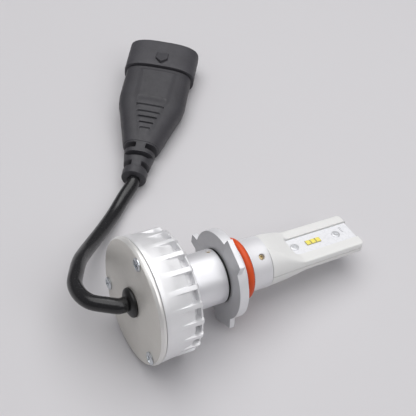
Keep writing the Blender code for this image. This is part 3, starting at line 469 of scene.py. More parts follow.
def cast_metal(name, base, roughness, metallic, grain=0.000012):
    """Bead-blasted casting: fine grain, slow cloudiness and faint dust."""
    f = Finish(name, base, roughness, metallic)
    f.vary_colour(f.span(f.noise(90.0, 4.0), 0.0, 0.5), shade(base, 0.93))
    f.vary_roughness(f.noise(350.0, 4.0), roughness - 0.06, roughness + 0.08)
    f.relief(f.noise(5200.0, 2.0), grain)
    return f


def turned_metal(name, base, roughness, metallic):
    """Lathe-turned surface: rings round the axis in relief and roughness."""
    f = Finish(name, base, roughness, metallic)
    rings = f.noise(7000.0, 2.0, vector=f.turned_vector(), rough=0.7)
    f.vary_colour(f.span(f.noise(110.0, 3.0), 0.0, 0.4), shade(base, 0.94))
    f.vary_roughness(rings, roughness - 0.05, roughness + 0.07)
    f.relief(rings, 0.000006)
    return f


def moulded(name, base, roughness, grain, place=PLUG, scale=3800.0):
    """Moulded plastic or rubber with a fine spark-eroded grain."""
    f = Finish(name, base, roughness, 0.0, place)
    f.vary_colour(f.span(f.noise(160.0, 5.0), 0.0, 0.7), shade(base, 1.35))
    f.vary_roughness(f.noise(800.0, 4.0), roughness - 0.07, roughness + 0.08)
    f.relief(f.noise(scale, 3.0), grain)
    return f


def make_materials():
    """Every finish, by a short name."""
    c = colours()
    m = {}
    m["sink"] = cast_metal("cast_aluminium", shade(c.silver, 1.0), 0.46, 0.60)
    m["neck"] = turned_metal("turned_aluminium", shade(c.turned, 1.06), 0.44, 0.62)
    base = cast_metal("satin_base_painted_back_shade", shade(c.turned, 1.03), 0.42, 0.32, 0.000008)
    split = base.node("ShaderNodeSeparateXYZ")
    base.link(base.local, split.inputs[0])
    # Painted shade: the flange's rear face is darkened to 0.66 of the turned colour, standing in for the
    # shade and dark reflections it gets facing the heat sink.
    back = base.span(split.outputs[0], 1.0, 0.0, (-0.00366, -0.00358))  # the flange's rear face
    base.vary_colour(back, shade(c.turned, 0.66))
    m["collar"] = base
    cover = Finish("cover_paint", c.cover, 0.42, 0.35)
    grain = cover.noise(1200.0, 3.0, stretch=(1.0, 0.06, 1.0))
    cover.vary_colour(cover.span(cover.noise(120.0, 4.0), 0.0, 0.6), shade(c.cover, 0.93))
    cover.vary_roughness(grain, 0.36, 0.50).relief(grain, 0.000008)
    m["cover"] = cover
    m["rim"] = turned_metal("cover_rim", (0.83, 0.82, 0.80), 0.34, 0.55)
    post = Finish("post_paint", c.post, 0.40)
    post.shader.inputs["Coat Weight"].default_value = 0.15
    post.vary_colour(post.span(post.noise(140.0, 4.0), 0.0, 0.6), shade(c.post, 0.96))
    post.vary_roughness(post.noise(500.0, 3.0), 0.34, 0.46).relief(post.noise(2600.0, 3.0), 0.00001)
    m["post"] = post
    board = Finish("board_mask", c.board, 0.28)
    board.vary_colour(board.span(board.noise(300.0, 3.0), 0.0, 0.5), shade(c.board, 0.96))
    board.vary_roughness(board.noise(900.0, 3.0), 0.22, 0.34).relief(board.noise(1500.0, 2.0), 0.00001)
    m["board"] = board
    chip = Finish("led_phosphor", c.phosphor, 0.45)
    chip.vary_colour(chip.span(chip.noise(2500.0, 3.0), 0.0, 0.5), (0.98, 0.92, 0.30))
    chip.relief(chip.noise(6000.0, 2.0), 0.00001)
    m["phosphor"] = chip
    m["chip_base"] = moulded("chip_base", (0.42, 0.38, 0.20), 0.5, 0.000008, BULB)
    seal = Finish("seal_silicone", c.seal, 0.38)
    seal.shader.inputs["Specular IOR Level"].default_value = 0.35
    seal.vary_colour(seal.span(seal.noise(260.0, 4.0), 0.0, 0.6), shade(c.seal, 0.82))
    seal.vary_roughness(seal.noise(900.0, 3.0), 0.32, 0.48).relief(seal.noise(2800.0, 3.0), 0.00001)
    m["seal"] = seal
    m["rubber"] = moulded("black_rubber", c.rubber, 0.36, 0.000012, BULB)
    m["jacket"] = moulded("lead_jacket", c.jacket, 0.22, 0.000008, BULB, 2600.0)
    m["plug"] = moulded("plug_plastic", c.plug, 0.50, 0.000022)
    m["plug_shell"] = moulded("plug_shell_plastic", shade(c.plug, 1.25), 0.52, 0.00003, PLUG, 3000.0)
    m["steel"] = turned_metal("screw_steel", c.steel, 0.24, 1.0)
    m["brass"] = turned_metal("set_screw_brass", c.brass, 0.33, 1.0)
    m["copper"] = cast_metal("core_copper", (0.72, 0.42, 0.28), 0.34, 1.0)
    m["can"] = turned_metal("capacitor_can", (0.60, 0.62, 0.66), 0.3, 0.9)
    m["component"] = moulded("component_black", (0.03, 0.03, 0.03), 0.4, 0.00001, BULB)
    m["pad"] = moulded("thermal_pad", (0.35, 0.45, 0.60), 0.8, 0.00003, BULB)
    m["fibreglass"] = moulded("fibreglass_board", (0.05, 0.20, 0.10), 0.5, 0.00001, BULB)
    m["wire"] = moulded("wire_insulation", (0.45, 0.02, 0.02), 0.42, 0.000008, BULB)
    m["rivet"] = cast_metal("board_screw_nickel", (0.74, 0.75, 0.77), 0.34, 0.45, 0.000006)
    m["solder"] = cast_metal("solder_pads", (0.55, 0.56, 0.58), 0.38, 0.7)
    return {key: value.material for key, value in m.items()}


MATERIALS = {}


def material(name):
    if not MATERIALS:
        MATERIALS.update(make_materials())
    return MATERIALS[name]


# ---------------------------------------------------------------- pieces of the bulb


def sink_grid():
    """The drum: rows along its closed profile, columns round it. Each column mixes the panels' profile
    and the ribs' by a mask that rises steeply at a rib's flanks, so a rib crosses the slot and fills it."""
    front, rear = SINK_FRONT, SINK_REAR
    slot_a, slot_b = front - 3.1, front - 0.7
    floor, top = SLOT_RADIUS, RIB_RADIUS
    panel = np.array([
        (rear, CAVITY_RADIUS), (rear, 22.60), (rear + 0.1, 22.82), (rear + 0.35, 22.90), (rear + 2.0, 22.78),
        (rear + 5.6, 22.50), (rear + 6.6, 22.32), (rear + 8.2, 22.0), (slot_a - 0.5, 21.57),
        (slot_a - 0.12, 21.52), (slot_a, 21.40), (slot_a, 20.4), (slot_a, floor), (slot_a + 0.6, floor),
        (slot_b - 0.6, floor), (slot_b, floor), (slot_b, 20.4), (slot_b, 21.12), (slot_b + 0.1, 21.27),
        (front - 0.18, 21.29), (front - 0.05, 21.2), (front, 21.05), (front, 20.0), (front, 12.0),
        (front, 8.4), (front - 5.3, 8.4), (front - 5.3, CAVITY_RADIUS),
    ])
    rib = panel.copy()
    rib[6:22] = [
        (rear + 6.6, 22.50), (rear + 8.2, top), (slot_a - 0.5, top), (slot_a - 0.12, top), (slot_a, top),
        (slot_a + 0.3, top), (slot_a + 0.6, top), (slot_a + 0.9, top), (slot_b - 0.9, top),
        (slot_b - 0.6, top), (slot_b - 0.3, 22.50), (slot_b, 22.46), (slot_b + 0.2, 22.36),
        (front - 0.30, 22.20), (front - 0.14, 22.0), (front - 0.03, 21.70),
    ]
    offsets = np.array([-2.9, -2.2, -1.5, -1.2, -1.06, -0.98, -0.92, -0.86, -0.78, -0.6, -0.3])
    offsets = np.concatenate([offsets, [0.0], -offsets[::-1]])[:-1]
    pitch = 360 / RIBS
    angles = (RIB_PHASE + pitch * np.arange(RIBS)[:, None] + np.degrees(offsets / 22.5)).ravel()
    mask = np.tile(1 - smooth(np.abs(offsets), 0.80, 1.04), RIBS)[None, :, None]
    mixed = panel[:, None] * (1 - mask) + rib[:, None] * mask
    return turn(mixed[..., 0], mixed[..., 1], angles[None, :])


def screw_grid(head_r, head_t, recess):
    """A pan head on a polar grid about X: a dome less a cross recess whose floor tapers to its middle.
    The head's underside is x = 0 and it rises towards -X."""
    rim = [0.8, 0.87, 0.93, 0.97, 0.995, 1.0, 1.0, 0.5, 0.0]
    radii = np.concatenate([np.linspace(0, 0.72, 26), rim]) * head_r
    outer = radii / head_r
    height = head_t * (1 - 0.20 * outer**2 - 0.30 * smooth(outer, 0.80, 1.0))
    height[-3:] = [0.02, 0.0, 0.0]
    phi = np.linspace(0, 2 * np.pi, 120, endpoint=False)
    a, b = radii[:, None] * np.cos(phi), radii[:, None] * np.sin(phi)
    arm = np.minimum(np.abs(a), np.abs(b))
    along = np.maximum(np.abs(a), np.abs(b))
    width, reach, wall = 0.13 * head_r, 0.50 * head_r, 0.05 * head_r
    cross = (1 - smooth(arm, width, width + wall)) * (1 - smooth(along, reach, reach + 1.5 * wall))
    depth = recess * cross * (1.0 - 0.35 * along / head_r)
    depth[-3:] = 0
    return np.stack([-(height[:, None] - depth), a, b], -1)


def placed_screw(grid, angle, radius, x, spin):
    """Turns a screw's grid about its own axis and moves it out to its circle."""
    c, s = math.cos(math.radians(spin)), math.sin(math.radians(spin))
    y, z = grid[..., 1] * c - grid[..., 2] * s, grid[..., 1] * s + grid[..., 2] * c
    return np.stack([grid[..., 0] + x, y, z], -1) + turn(0.0, radius, angle)


def socket_screw_grid(radius, length):
    """A headless screw about X with a hexagon socket in its end at x = 0."""
    radii = np.array([0, 0.2, 0.4, 0.46, 0.50, 0.54, 0.58, 0.7, 0.85, 0.95, 1.0, 1.0, 1.0, 0.0]) * radius
    phi = np.linspace(0, 2 * np.pi, 72, endpoint=False)
    depth = np.array([0.0] * 8 + [0.02, 0.08, 0.2, 0.5, 1.0, 1.0]) * length
    a, b = radii[:, None] * np.cos(phi), radii[:, None] * np.sin(phi)
    flats = np.radians(60 * np.arange(6))
    hexagon = np.max(a[..., None] * np.cos(flats) + b[..., None] * np.sin(flats), -1)
    hole = 0.75 * radius * (1 - smooth(hexagon, 0.46 * radius, 0.54 * radius))
    hole[-4:] = 0
    return np.stack([-(depth[:, None] + hole), a, b], -1)


def spoke_points(grid, angle, radius, x):
    """Turns a grid so that its X points out at an angle round the bulb's axis, and moves it there."""
    a = math.radians(angle)
    out = np.array([0, -math.sin(a), math.cos(a)])
    side = np.array([0, -math.cos(a), -math.sin(a)])
    along = np.cross(out, side)
    turned = grid[..., :1] * out + grid[..., 1:2] * side + grid[..., 2:] * along
    return turned + out * radius + np.array([x, 0, 0])


def collar_grid():
    """The base's closed profile. Its rim's rear rows grow out inside each lug's angles, up to a chord
    between the lug's two tips: radius = tip radius times the cosine of half the lug, over the cosine of
    the angle from its middle."""
    e, back, lug, rim = 0.3, FLANGE_BACK, LUG_FRONT, FLANGE_RADIUS
    keys = [
        (back, BASE_BORE), (back, rim), (lug - 0.05, rim), (lug + 0.05, rim), (0, rim), (0, 11.2),
        (2.9, 11.2), (2.9, 8.75), (6.0, 8.75), (6.0, 10.0), (7.0, 10.0), (7.0, HUB_RADIUS),
        (HUB_FRONT, HUB_RADIUS), (HUB_FRONT, BASE_BORE),
    ]
    radii = [0.1, e, 0.02, 0.02, e, 0.15, e, 0.2, 0.2, 0.22, 0.15, 0.1, 0.14, 0.1]
    profile = rounded(keys, radii, steps=4)
    near_screw = np.arange(HUB_SCREW_X - 1.5, HUB_SCREW_X + 1.5, 0.1)
    at = np.nonzero((profile[:, 1] > 9.6) & (profile[:, 0] > 7.2))[0][0]
    middle = np.stack([near_screw, np.full(len(near_screw), HUB_RADIUS)], 1)
    profile = np.concatenate([profile[:at], middle, profile[at:]])
    angles = np.arange(0, 360, 2.5)
    for lug in LUGS:
        for a, b in (lug[:2], lug[2:]):
            angles = with_fine(angles, (a + b) / 2, abs(b - a) / 2 + 1.5, 0.4)
    angles = with_fine(angles, HUB_SCREW_ANGLE, 9.0, 0.6)
    angles = np.unique(np.round(angles, 3) % 360)
    rise = np.zeros(len(angles))
    for a, b, c, d in LUGS:
        off_middle = np.radians(np.clip(angles, b, c) - (b + c) / 2)
        chord = LUG_RADIUS * np.cos(np.radians(c - b) / 2) / np.cos(off_middle)
        rise = np.maximum(rise, (chord - FLANGE_RADIUS) * ramp(angles, a, b) * ramp(-angles, -d, -c))
    reach = smooth(profile[:, 1], 15.3, 16.1) * (profile[:, 0] < LUG_FRONT)
    radius = profile[:, 1:] + reach[:, None] * rise[None, :]
    grid = turn(profile[:, :1], radius, angles[None, :])
    return dent(grid, HUB_SCREW_ANGLE, HUB_SCREW_X, 1.15, 1.3)


def ramp(value, low, high):
    """A straight rise from 0 to 1 with slightly rounded ends."""
    t = np.clip((value - low) / (high - low), 0, 1)
    return 0.75 * t + 0.25 * t * t * (3 - 2 * t)


def post_grids():
    """The upper half of the post as a top surface and a bottom surface over the same columns.

    At each station the outside is the smaller of a circle of radius R(x) and a flat at height h(x),
    joined by a p-norm so that the edge is round. h(x) falls from the root to the blade in a straight
    ramp with a soft end. Columns inside the window drop to its floor once x passes the window's end."""
    tip_r = 1.6
    x = np.concatenate([
        [POST_REAR, POST_REAR + 0.08, POST_REAR + 0.25], np.linspace(POST_REAR + 0.6, 26.3, 40),
        [WINDOW_REAR - 0.05, WINDOW_REAR, WINDOW_REAR + 0.05], np.linspace(26.9, 31, 20),
        np.linspace(31.5, 53.2, 20), POST_FRONT - tip_r + tip_r * np.sin(np.linspace(0, np.pi / 2, 12)),
    ])
    t = (x - POST_REAR) / (BLADE_X - POST_REAR)
    raw = 9.75 + (BLADE_TOP - 9.75) * t
    high = BLADE_TOP + np.logaddexp(0, (raw - BLADE_TOP) * 3.2) / 3.2
    radius = 9.6 - 0.45 * np.clip(t, 0, 1) - 0.2 * np.clip((x - BLADE_X) / 20, 0, 1)
    tip = np.clip((x - (POST_FRONT - tip_r)) / tip_r, 0, 1)
    radius = radius - tip_r * (1 - np.sqrt(np.clip(1 - tip**2, 0, 1)))
    last = np.clip(tip - 0.75, 0, 1) / 0.25
    high = high - 0.35 * (1 - np.sqrt(np.clip(1 - last**2, 0, 1)))
    root = np.clip(1 - (x - POST_REAR) / 0.25, 0, 1)
    radius, high = radius - 0.12 * root**2, high - 0.12 * root**2
    corner = np.arcsin(np.clip(high / radius, 0, 0.97))
    side = np.linspace(0, 1, 7)[:-1]
    start = np.arcsin(0.16 / radius)
    low_arc = start[:, None] + (corner - 0.07 - start)[:, None] * side
    bend = corner[:, None] + np.linspace(-0.07, 0.16, 14)
    half_angle = np.concatenate([low_arc, bend], 1)
    rail_start = high / np.tan(half_angle[:, -1])
    inner = np.array([4.62, 4.6, 4.56, 4.5])
    rail = rail_start[:, None] + (4.75 - rail_start)[:, None] * np.linspace(0.15, 1, 5)
    inner = np.concatenate([inner, np.linspace(4.2, 0, 6)])
    wide_y = np.concatenate([rail, np.broadcast_to(inner, (len(x), 10))], 1)
    angle = np.concatenate([half_angle, np.arctan2(high[:, None], np.maximum(wide_y, 0))], 1)
    power = np.interp(x, [POST_REAR, 24.0, BLADE_X], [11.0, 11.0, 17.0])[:, None]
    reach = (radius[:, None] ** -power + (high[:, None] / np.sin(angle)) ** -power) ** (-1 / power)
    y, z = reach * np.cos(angle), reach * np.sin(angle)
    y = np.concatenate([y, -y[:, -2::-1]], 1)
    z = np.concatenate([z, z[:, -2::-1]], 1)
    xx = np.broadcast_to(x[:, None], y.shape).copy()
    n = half_angle.shape[1] + 5 + 1
    columns = np.arange(y.shape[1])
    in_window = (columns > n) & (columns < y.shape[1] - 1 - n)
    past = x >= WINDOW_REAR + 0.02
    z = np.where(past[:, None] & in_window[None, :], 0.70, z)
    bottom_z = np.where(np.abs(y) < 5.8, 0.63, 0.15)
    top = np.stack([xx, y, z], -1)
    return top, np.stack([xx, y, bottom_z], -1)


# ---------------------------------------------------------------- operators


class Maker(bpy.types.Operator):
    """Base of the operators"""

    bl_options = {"REGISTER", "UNDO"}

    def execute(self, context):
        self.make(context)
        return {"FINISHED"}


class BULB_OT_stage(Maker):
    """Camera, pale floor and soft lights"""

    bl_idname = "bulb.stage"
    bl_label = "Stage"

    def make(self, context):
        s = sizes()
        camera = bpy.data.objects.new("camera", bpy.data.cameras.new("camera"))
        context.scene.collection.objects.link(camera)
        back = np.array((-0.309, -0.5868, 0.7484))
        back /= np.linalg.norm(back)
        right = np.cross((0, 0, 1), back)
        right /= np.linalg.norm(right)
        up = np.cross(back, right)
        rotation = Matrix([(right[i], up[i], back[i]) for i in range(3)])
        camera.matrix_world = Matrix.Translation((-0.1108, -0.1826, 0.2907)) @ rotation.to_4x4()
        camera.data.lens = s.lens
        camera.data.sensor_width = 36.0
        camera.data.clip_start = 0.01
        context.scene.camera = camera
        self.floor()
        self.light("top", (0.05, 0.12, 0.80), (0.0, 0.03, 0.0), 1.15, s.top_power, (1.0, 0.995, 1.0))
        self.light("key", (0.22, 0.42, 0.62), (0.0, 0.03, 0.0), 0.45, s.key_power, (1.0, 0.995, 0.985))
        self.light("front", (0.28, -0.58, 0.66), (0.0, 0.02, 0.0), 0.50, s.fill_power, (0.99, 0.99, 1.0))
        world = bpy.data.worlds.new("room")
        world.use_nodes = True
        background = world.node_tree.nodes["Background"]
        background.inputs["Color"].default_value = (0.97, 0.97, 1.0, 1.0)
        background.inputs["Strength"].default_value = s.room
        context.scene.world = world
        context.scene.view_settings.view_transform = "Standard"

    def floor(self):
        """A flat table that curves up into a wall far behind: height is 0, then a quarter circle."""
        u = np.linspace(-2.5, 2.5, 9)
        v = np.concatenate([np.linspace(-2.5, 2.0, 10), 2.0 + 0.8 * np.sin(np.linspace(0.1, 1.57, 10))])
        h = np.concatenate([np.zeros(10), 0.8 - 0.8 * np.cos(np.linspace(0.1, 1.57, 10))])
        grid = np.stack(np.broadcast_arrays(u[None, :], v[:, None], h[:, None]), -1)
        flat = Place((0, 0, -0.00002), (1, 0, 0), 0.0)
        floor = grid_object("floor", grid * 1000, flat, False, False)
        f = Finish("floor_paper", colours().floor, 0.62)
        f.vary_colour(f.span(f.noise(5.0, 3.0), 0.0, 0.25), shade(colours().floor, 0.97))
        f.relief(f.noise(900.0, 3.0), 0.00001)
        f.shader.inputs["Specular IOR Level"].default_value = 0.25
        floor.data.materials.append(f.material)

    def light(self, name, at, to, size, power, tint):
        lamp = bpy.data.lights.new(name, "AREA")
        lamp.shape = "DISK"
        lamp.size = size
        lamp.energy = power
        lamp.color = tint
        obj = bpy.data.objects.new(name, lamp)
        bpy.context.scene.collection.objects.link(obj)
        obj.location = at
        obj.rotation_euler = (Vector(to) - Vector(at)).to_track_quat("-Z", "Y").to_euler()


class BULB_OT_lead(Maker):
    """The lead from the grommet to the plug"""

    bl_idname = "bulb.lead"
    bl_label = "Lead"

    def make(self, context):
        start = BULB.points((COVER_REAR - 2.4, 0, 0))
        leaving = -BULB.axes[:, 0]
        end = PLUG.points((PLUG_LENGTH + TAIL_SPACE, 0, 0))
        into = -PLUG.axes[:, 0]
        first, last = start + leaving * LEAD_STRAIGHT, end - into * LEAD_STRAIGHT
        keys = np.array([start, first, *ROUTE, last, end])
        path = self.spline(keys, 81)
        length = float(np.linalg.norm(np.diff(path, axis=0), axis=1).sum())
        curve = bpy.data.curves.new("lead", "CURVE")
        curve.dimensions = "3D"
        curve.bevel_depth = sizes().cable / 2
        curve.bevel_resolution = 10
        curve.use_fill_caps = True
        spline = curve.splines.new("POLY")
        spline.points.add(len(path) - 1)
        spline.points.foreach_set("co", np.column_stack([path, np.ones(len(path))]).ravel())
        lead = bpy.data.objects.new("lead", curve)
        context.scene.collection.objects.link(lead)
        finish_piece(lead, material("jacket"), "cable_jacket", "bulb", "cable")
        self.declare(lead, start, length)

    def declare(self, lead, start, length):
        names = ("plug_body", "plug_mouth_shell", "plug_wedge", "grommet")
        others = [bpy.data.objects[name] for name in names]
        others += [frame["nodes"]["plug_terminal_1"], frame["nodes"]["plug_terminal_2"]]

    def spline(self, keys, count):
        """Catmull-Rom curve through the keys, read at even steps of its length."""
        ends = np.concatenate([[2 * keys[0] - keys[1]], keys, [2 * keys[-1] - keys[-2]]])
        t = np.linspace(0, 1, 24, endpoint=False)[None, :, None]
        a, b, c, d = (ends[k : len(ends) - 3 + k][:, None] for k in range(4))
        square, cube = 2 * a - 5 * b + 4 * c - d, 3 * b - a - 3 * c + d
        dense = 0.5 * (2 * b + (c - a) * t + square * t**2 + cube * t**3)
        dense = np.concatenate([dense.reshape(-1, 3), keys[-1:]])
        along = np.concatenate([[0], np.cumsum(np.linalg.norm(np.diff(dense, axis=0), axis=1))])
        wanted = np.linspace(0, along[-1], count)
        return np.stack([np.interp(wanted, along, dense[:, k]) for k in range(3)], 1)


class BULB_OT_heat_sink(Maker):
    """Finned drum"""

    bl_idname = "bulb.heat_sink"
    bl_label = "Heat sink"

    def make(self, context):
        add("heat_sink_drum", sink_grid(), "sink", "satin_aluminium", "bulb", "heat_sink", sharp=40)


class BULB_OT_cover(Maker):
    """Rear cover with its rim, gasket, screws and grommet"""

    bl_idname = "bulb.cover"
    bl_label = "Rear cover"

    def make(self, context):
        rear, front = COVER_REAR, COVER_FRONT
        face = [(rear, 3.9), (rear, 22.45), (rear + 0.35, 22.45), (rear + 0.35, 3.9)]
        face = lathe(rounded(face, [0.1, 0.05, 0.05, 0.1]), 160)
        add("cover_face", face, "cover", "cover_paint", "bulb", "rear_cover")
        rim = [
            (rear + 0.02, 22.5), (rear + 1.0, COVER_RADIUS), (front, COVER_RADIUS), (front, 17.0),
            (rear + 0.4, 17.0), (rear + 0.4, 22.4),
        ]
        rim = lathe(rounded(rim, [0.12, 0.22, 0.18, 0.1, 0.05, 0.03]), 200)
        add("cover_rim", rim, "rim", "cover_paint", "bulb")
        head = screw_grid(2.4, 0.72, 0.75)
        for number, angle in enumerate(COVER_SCREWS, 1):
            screw = placed_screw(head, angle, COVER_SCREW_CIRCLE, rear - 0.05, 25 + 37 * number)
            node = f"cover_screw_{number}"
            add(f"cover_pan_screw_{number}", screw, "steel", "screw_steel", "bulb", node, closed=False)
        boot = [
            (rear - 0.1, 0.0), (rear - 0.1, 5.4), (rear - 1.1, 5.35), (rear - 1.7, 4.5), (rear - 2.05, 3.5),
            (rear - 2.1, 0.0),
        ]
        boot = lathe(rounded(boot, [0, 0.15, 0.6, 0.5, 0.3, 0], False, 6), 96)
        add("grommet", boot, "rubber", "black_rubber", "bulb", "cable_grommet", closed=False)
        dress_node("cover_gasket", "rubber")


class BULB_OT_driver(Maker):
    """Circuit parts inside the heat sink"""

    bl_idname = "bulb.driver"
    bl_label = "Driver"

    def make(self, context):
        for finish, nodes in (
            ("fibreglass", ("driver_board",)),
            ("pad", ("driver_pad",)),
            ("component", ("driver_choke", "driver_chip")),
            ("can", ("driver_capacitor_1", "driver_capacitor_2")),
            ("wire", ("supply_wire_1", "supply_wire_2", "lead_wire_upper", "lead_wire_lower")),
            ("copper", ("core_plate",)),
        ):
            for node in nodes:
                dress_node(node, finish)


class BULB_OT_neck(Maker):
    """Neck sleeve with its set screw and gasket"""

    bl_idname = "bulb.neck"
    bl_label = "Neck"

    def make(self, context):
        keys = [
            (NECK_REAR, SLEEVE_BORE), (NECK_REAR, NECK_RADIUS), (NECK_FRONT, NECK_RADIUS),
            (NECK_FRONT, SPIGOT_RADIUS), (SPIGOT_FRONT, SPIGOT_RADIUS), (SPIGOT_FRONT, SLEEVE_BORE),
        ]
        profile = rounded(keys, [0.1, 0.25, 0.1, 0.05, 0.2, 0.1])
        near_screw = np.stack([np.arange(-7.6, -5.15, 0.1), np.full(25, NECK_RADIUS)], 1)
        at = int(np.nonzero((profile[:, 0] > -6) & (profile[:, 1] > 9.7))[0][0])
        profile = np.concatenate([profile[:at], near_screw, profile[at:]])
        angles = with_fine(np.arange(-180, 180, 2.5), NECK_SCREW_ANGLE, 8.0, 0.55)
        tube = dent(lathe(profile, angles), NECK_SCREW_ANGLE, NECK_SCREW_X, 1.05, 1.2)
        add("neck_tube", tube, "neck", "satin_aluminium", "bulb", "neck_sleeve")
        screw = socket_screw_grid(GRUB_RADIUS, 2.6)
        screw = spoke_points(screw, NECK_SCREW_ANGLE, NECK_RADIUS - 0.55, NECK_SCREW_X)
        add("neck_grub_screw", screw, "brass", "set_screw_brass", "bulb", "neck_set_screw", closed=False)
        washer = rounded([(-4.36, 8.0), (-4.36, 10.12), (-3.80, 10.12), (-3.80, 8.0)], 0.06)
        add("neck_seal_washer", lathe(washer), "rubber", "black_rubber", "bulb", "neck_gasket")


class BULB_OT_base(Maker):
    """Lugged base that turns, with its seal ring and set screw"""

    bl_idname = "bulb.base"
    bl_label = "Base"

    def make(self, context):
        body = "base_collar"
        add("lug_base", collar_grid(), "collar", "satin_aluminium", body, "base_collar", sharp=30)
        a = np.linspace(0, 2 * np.pi, 28, endpoint=False)
        section = np.stack([4.42 + 1.42 * np.cos(a), 10.33 + 1.34 * np.sin(a)], 1)
        add("seal_ring", lathe(section, 160), "seal", "seal_silicone", body, "base_seal")
        # Painted shade: a thin black rubber ring beside the seal ring, standing in for the dark line of shade
        # at the edge of the seal's groove.
        groove_shade_profile = rounded([(5.68, 8.8), (5.68, 10.6), (5.98, 10.6), (5.98, 8.8)], 0.06)
        add("seal_backing", lathe(groove_shade_profile), "rubber", "black_rubber", body)
        screw = socket_screw_grid(GRUB_RADIUS, 1.3)
        screw = spoke_points(screw, HUB_SCREW_ANGLE, HUB_RADIUS - 0.55, HUB_SCREW_X)
        add("base_grub_screw", screw, "brass", "set_screw_brass", body, "collar_set_screw", closed=False)


class BULB_OT_post(Maker):
    """Both halves of the post, and the boards with their chips, pads and screws"""

    bl_idname = "bulb.post"
    bl_label = "Post"

    def make(self, context):
        top, bottom = post_grids()
        for word, side in (("upper", 1.0), ("lower", -1.0)):
            flip = np.array([1.0, 1.0, side])
            half = shell_object(f"post_{word}", top * flip, bottom * flip, BULB, sharp=28)
            finish_piece(half, material("post"), "post_white", "bulb", f"post_half_{word}")
            self.board(word, side)

    def board(self, word, side):
        """Boxes stacked outwards from the core plate: the board, its pads, and each chip's base and lens."""

        def put(name, centres, block, bevel, finish, slot, *nodes):
            centres = np.array(centres, float) * (1, 1, side)
            obj = blocks_object(name, centres, block, BULB, bevel)
            finish_piece(obj, material(finish), slot, "bulb", *nodes)

        plate = [(40.9, 0, 1.17)], [(27.7, 8.7, 0.9)], 0.00008
        put(f"board_{word}", *plate, "board", "board_white", f"led_board_{word}")
        for k in range(3):
            x = CHIPS_X + CHIP_PITCH * (k - 1)
            base = [(x, 0, 1.79)], [(2.0, 2.3, 0.32)], 0.00005
            put(f"chip_base_{word}_{k + 1}", *base, "chip_base", "led_phosphor")
            lens = [(x, 0, 1.98)], [(1.68, 2.1, 0.22)], 0.00007
            put(f"chip_{word}_{k + 1}", *lens, "phosphor", "led_phosphor", f"led_chip_{word}_{k + 1}")
        centres = [(44.2, -1.8 + 0.9 * k, PAD_Z) for k in range(4)]
        centres += [(33.6, 1.9 * k, PAD_Z) for k in (-1, 1)]
        pads = centres, [(1.1, 0.42, 0.05)] * 4 + [(0.9, 0.7, 0.05)] * 2, 0.00001
        put(f"solder_pads_{word}", *pads, "board", "board_white")
        dots = [(51.2, 2.6 - 0.75 * k, PAD_Z) for k in range(4)], [(0.8, 0.34, 0.05)] * 4, 0.00001
        put(f"test_pads_{word}", *dots, "solder", "screw_steel")
        head = screw_grid(1.65, 0.42, 0.3)
        head = np.stack([head[..., 1], head[..., 2], -head[..., 0]], -1) * (1, 1, side)
        for number, x in enumerate(BOARD_SCREWS, 1):
            screw = head + (x, 0, side * 1.63)
            node = f"board_screw_{word}_{number}"
            name = f"board_pan_screw_{word}_{number}"
            add(name, screw, "rivet", "screw_steel", "bulb", node, closed=False)


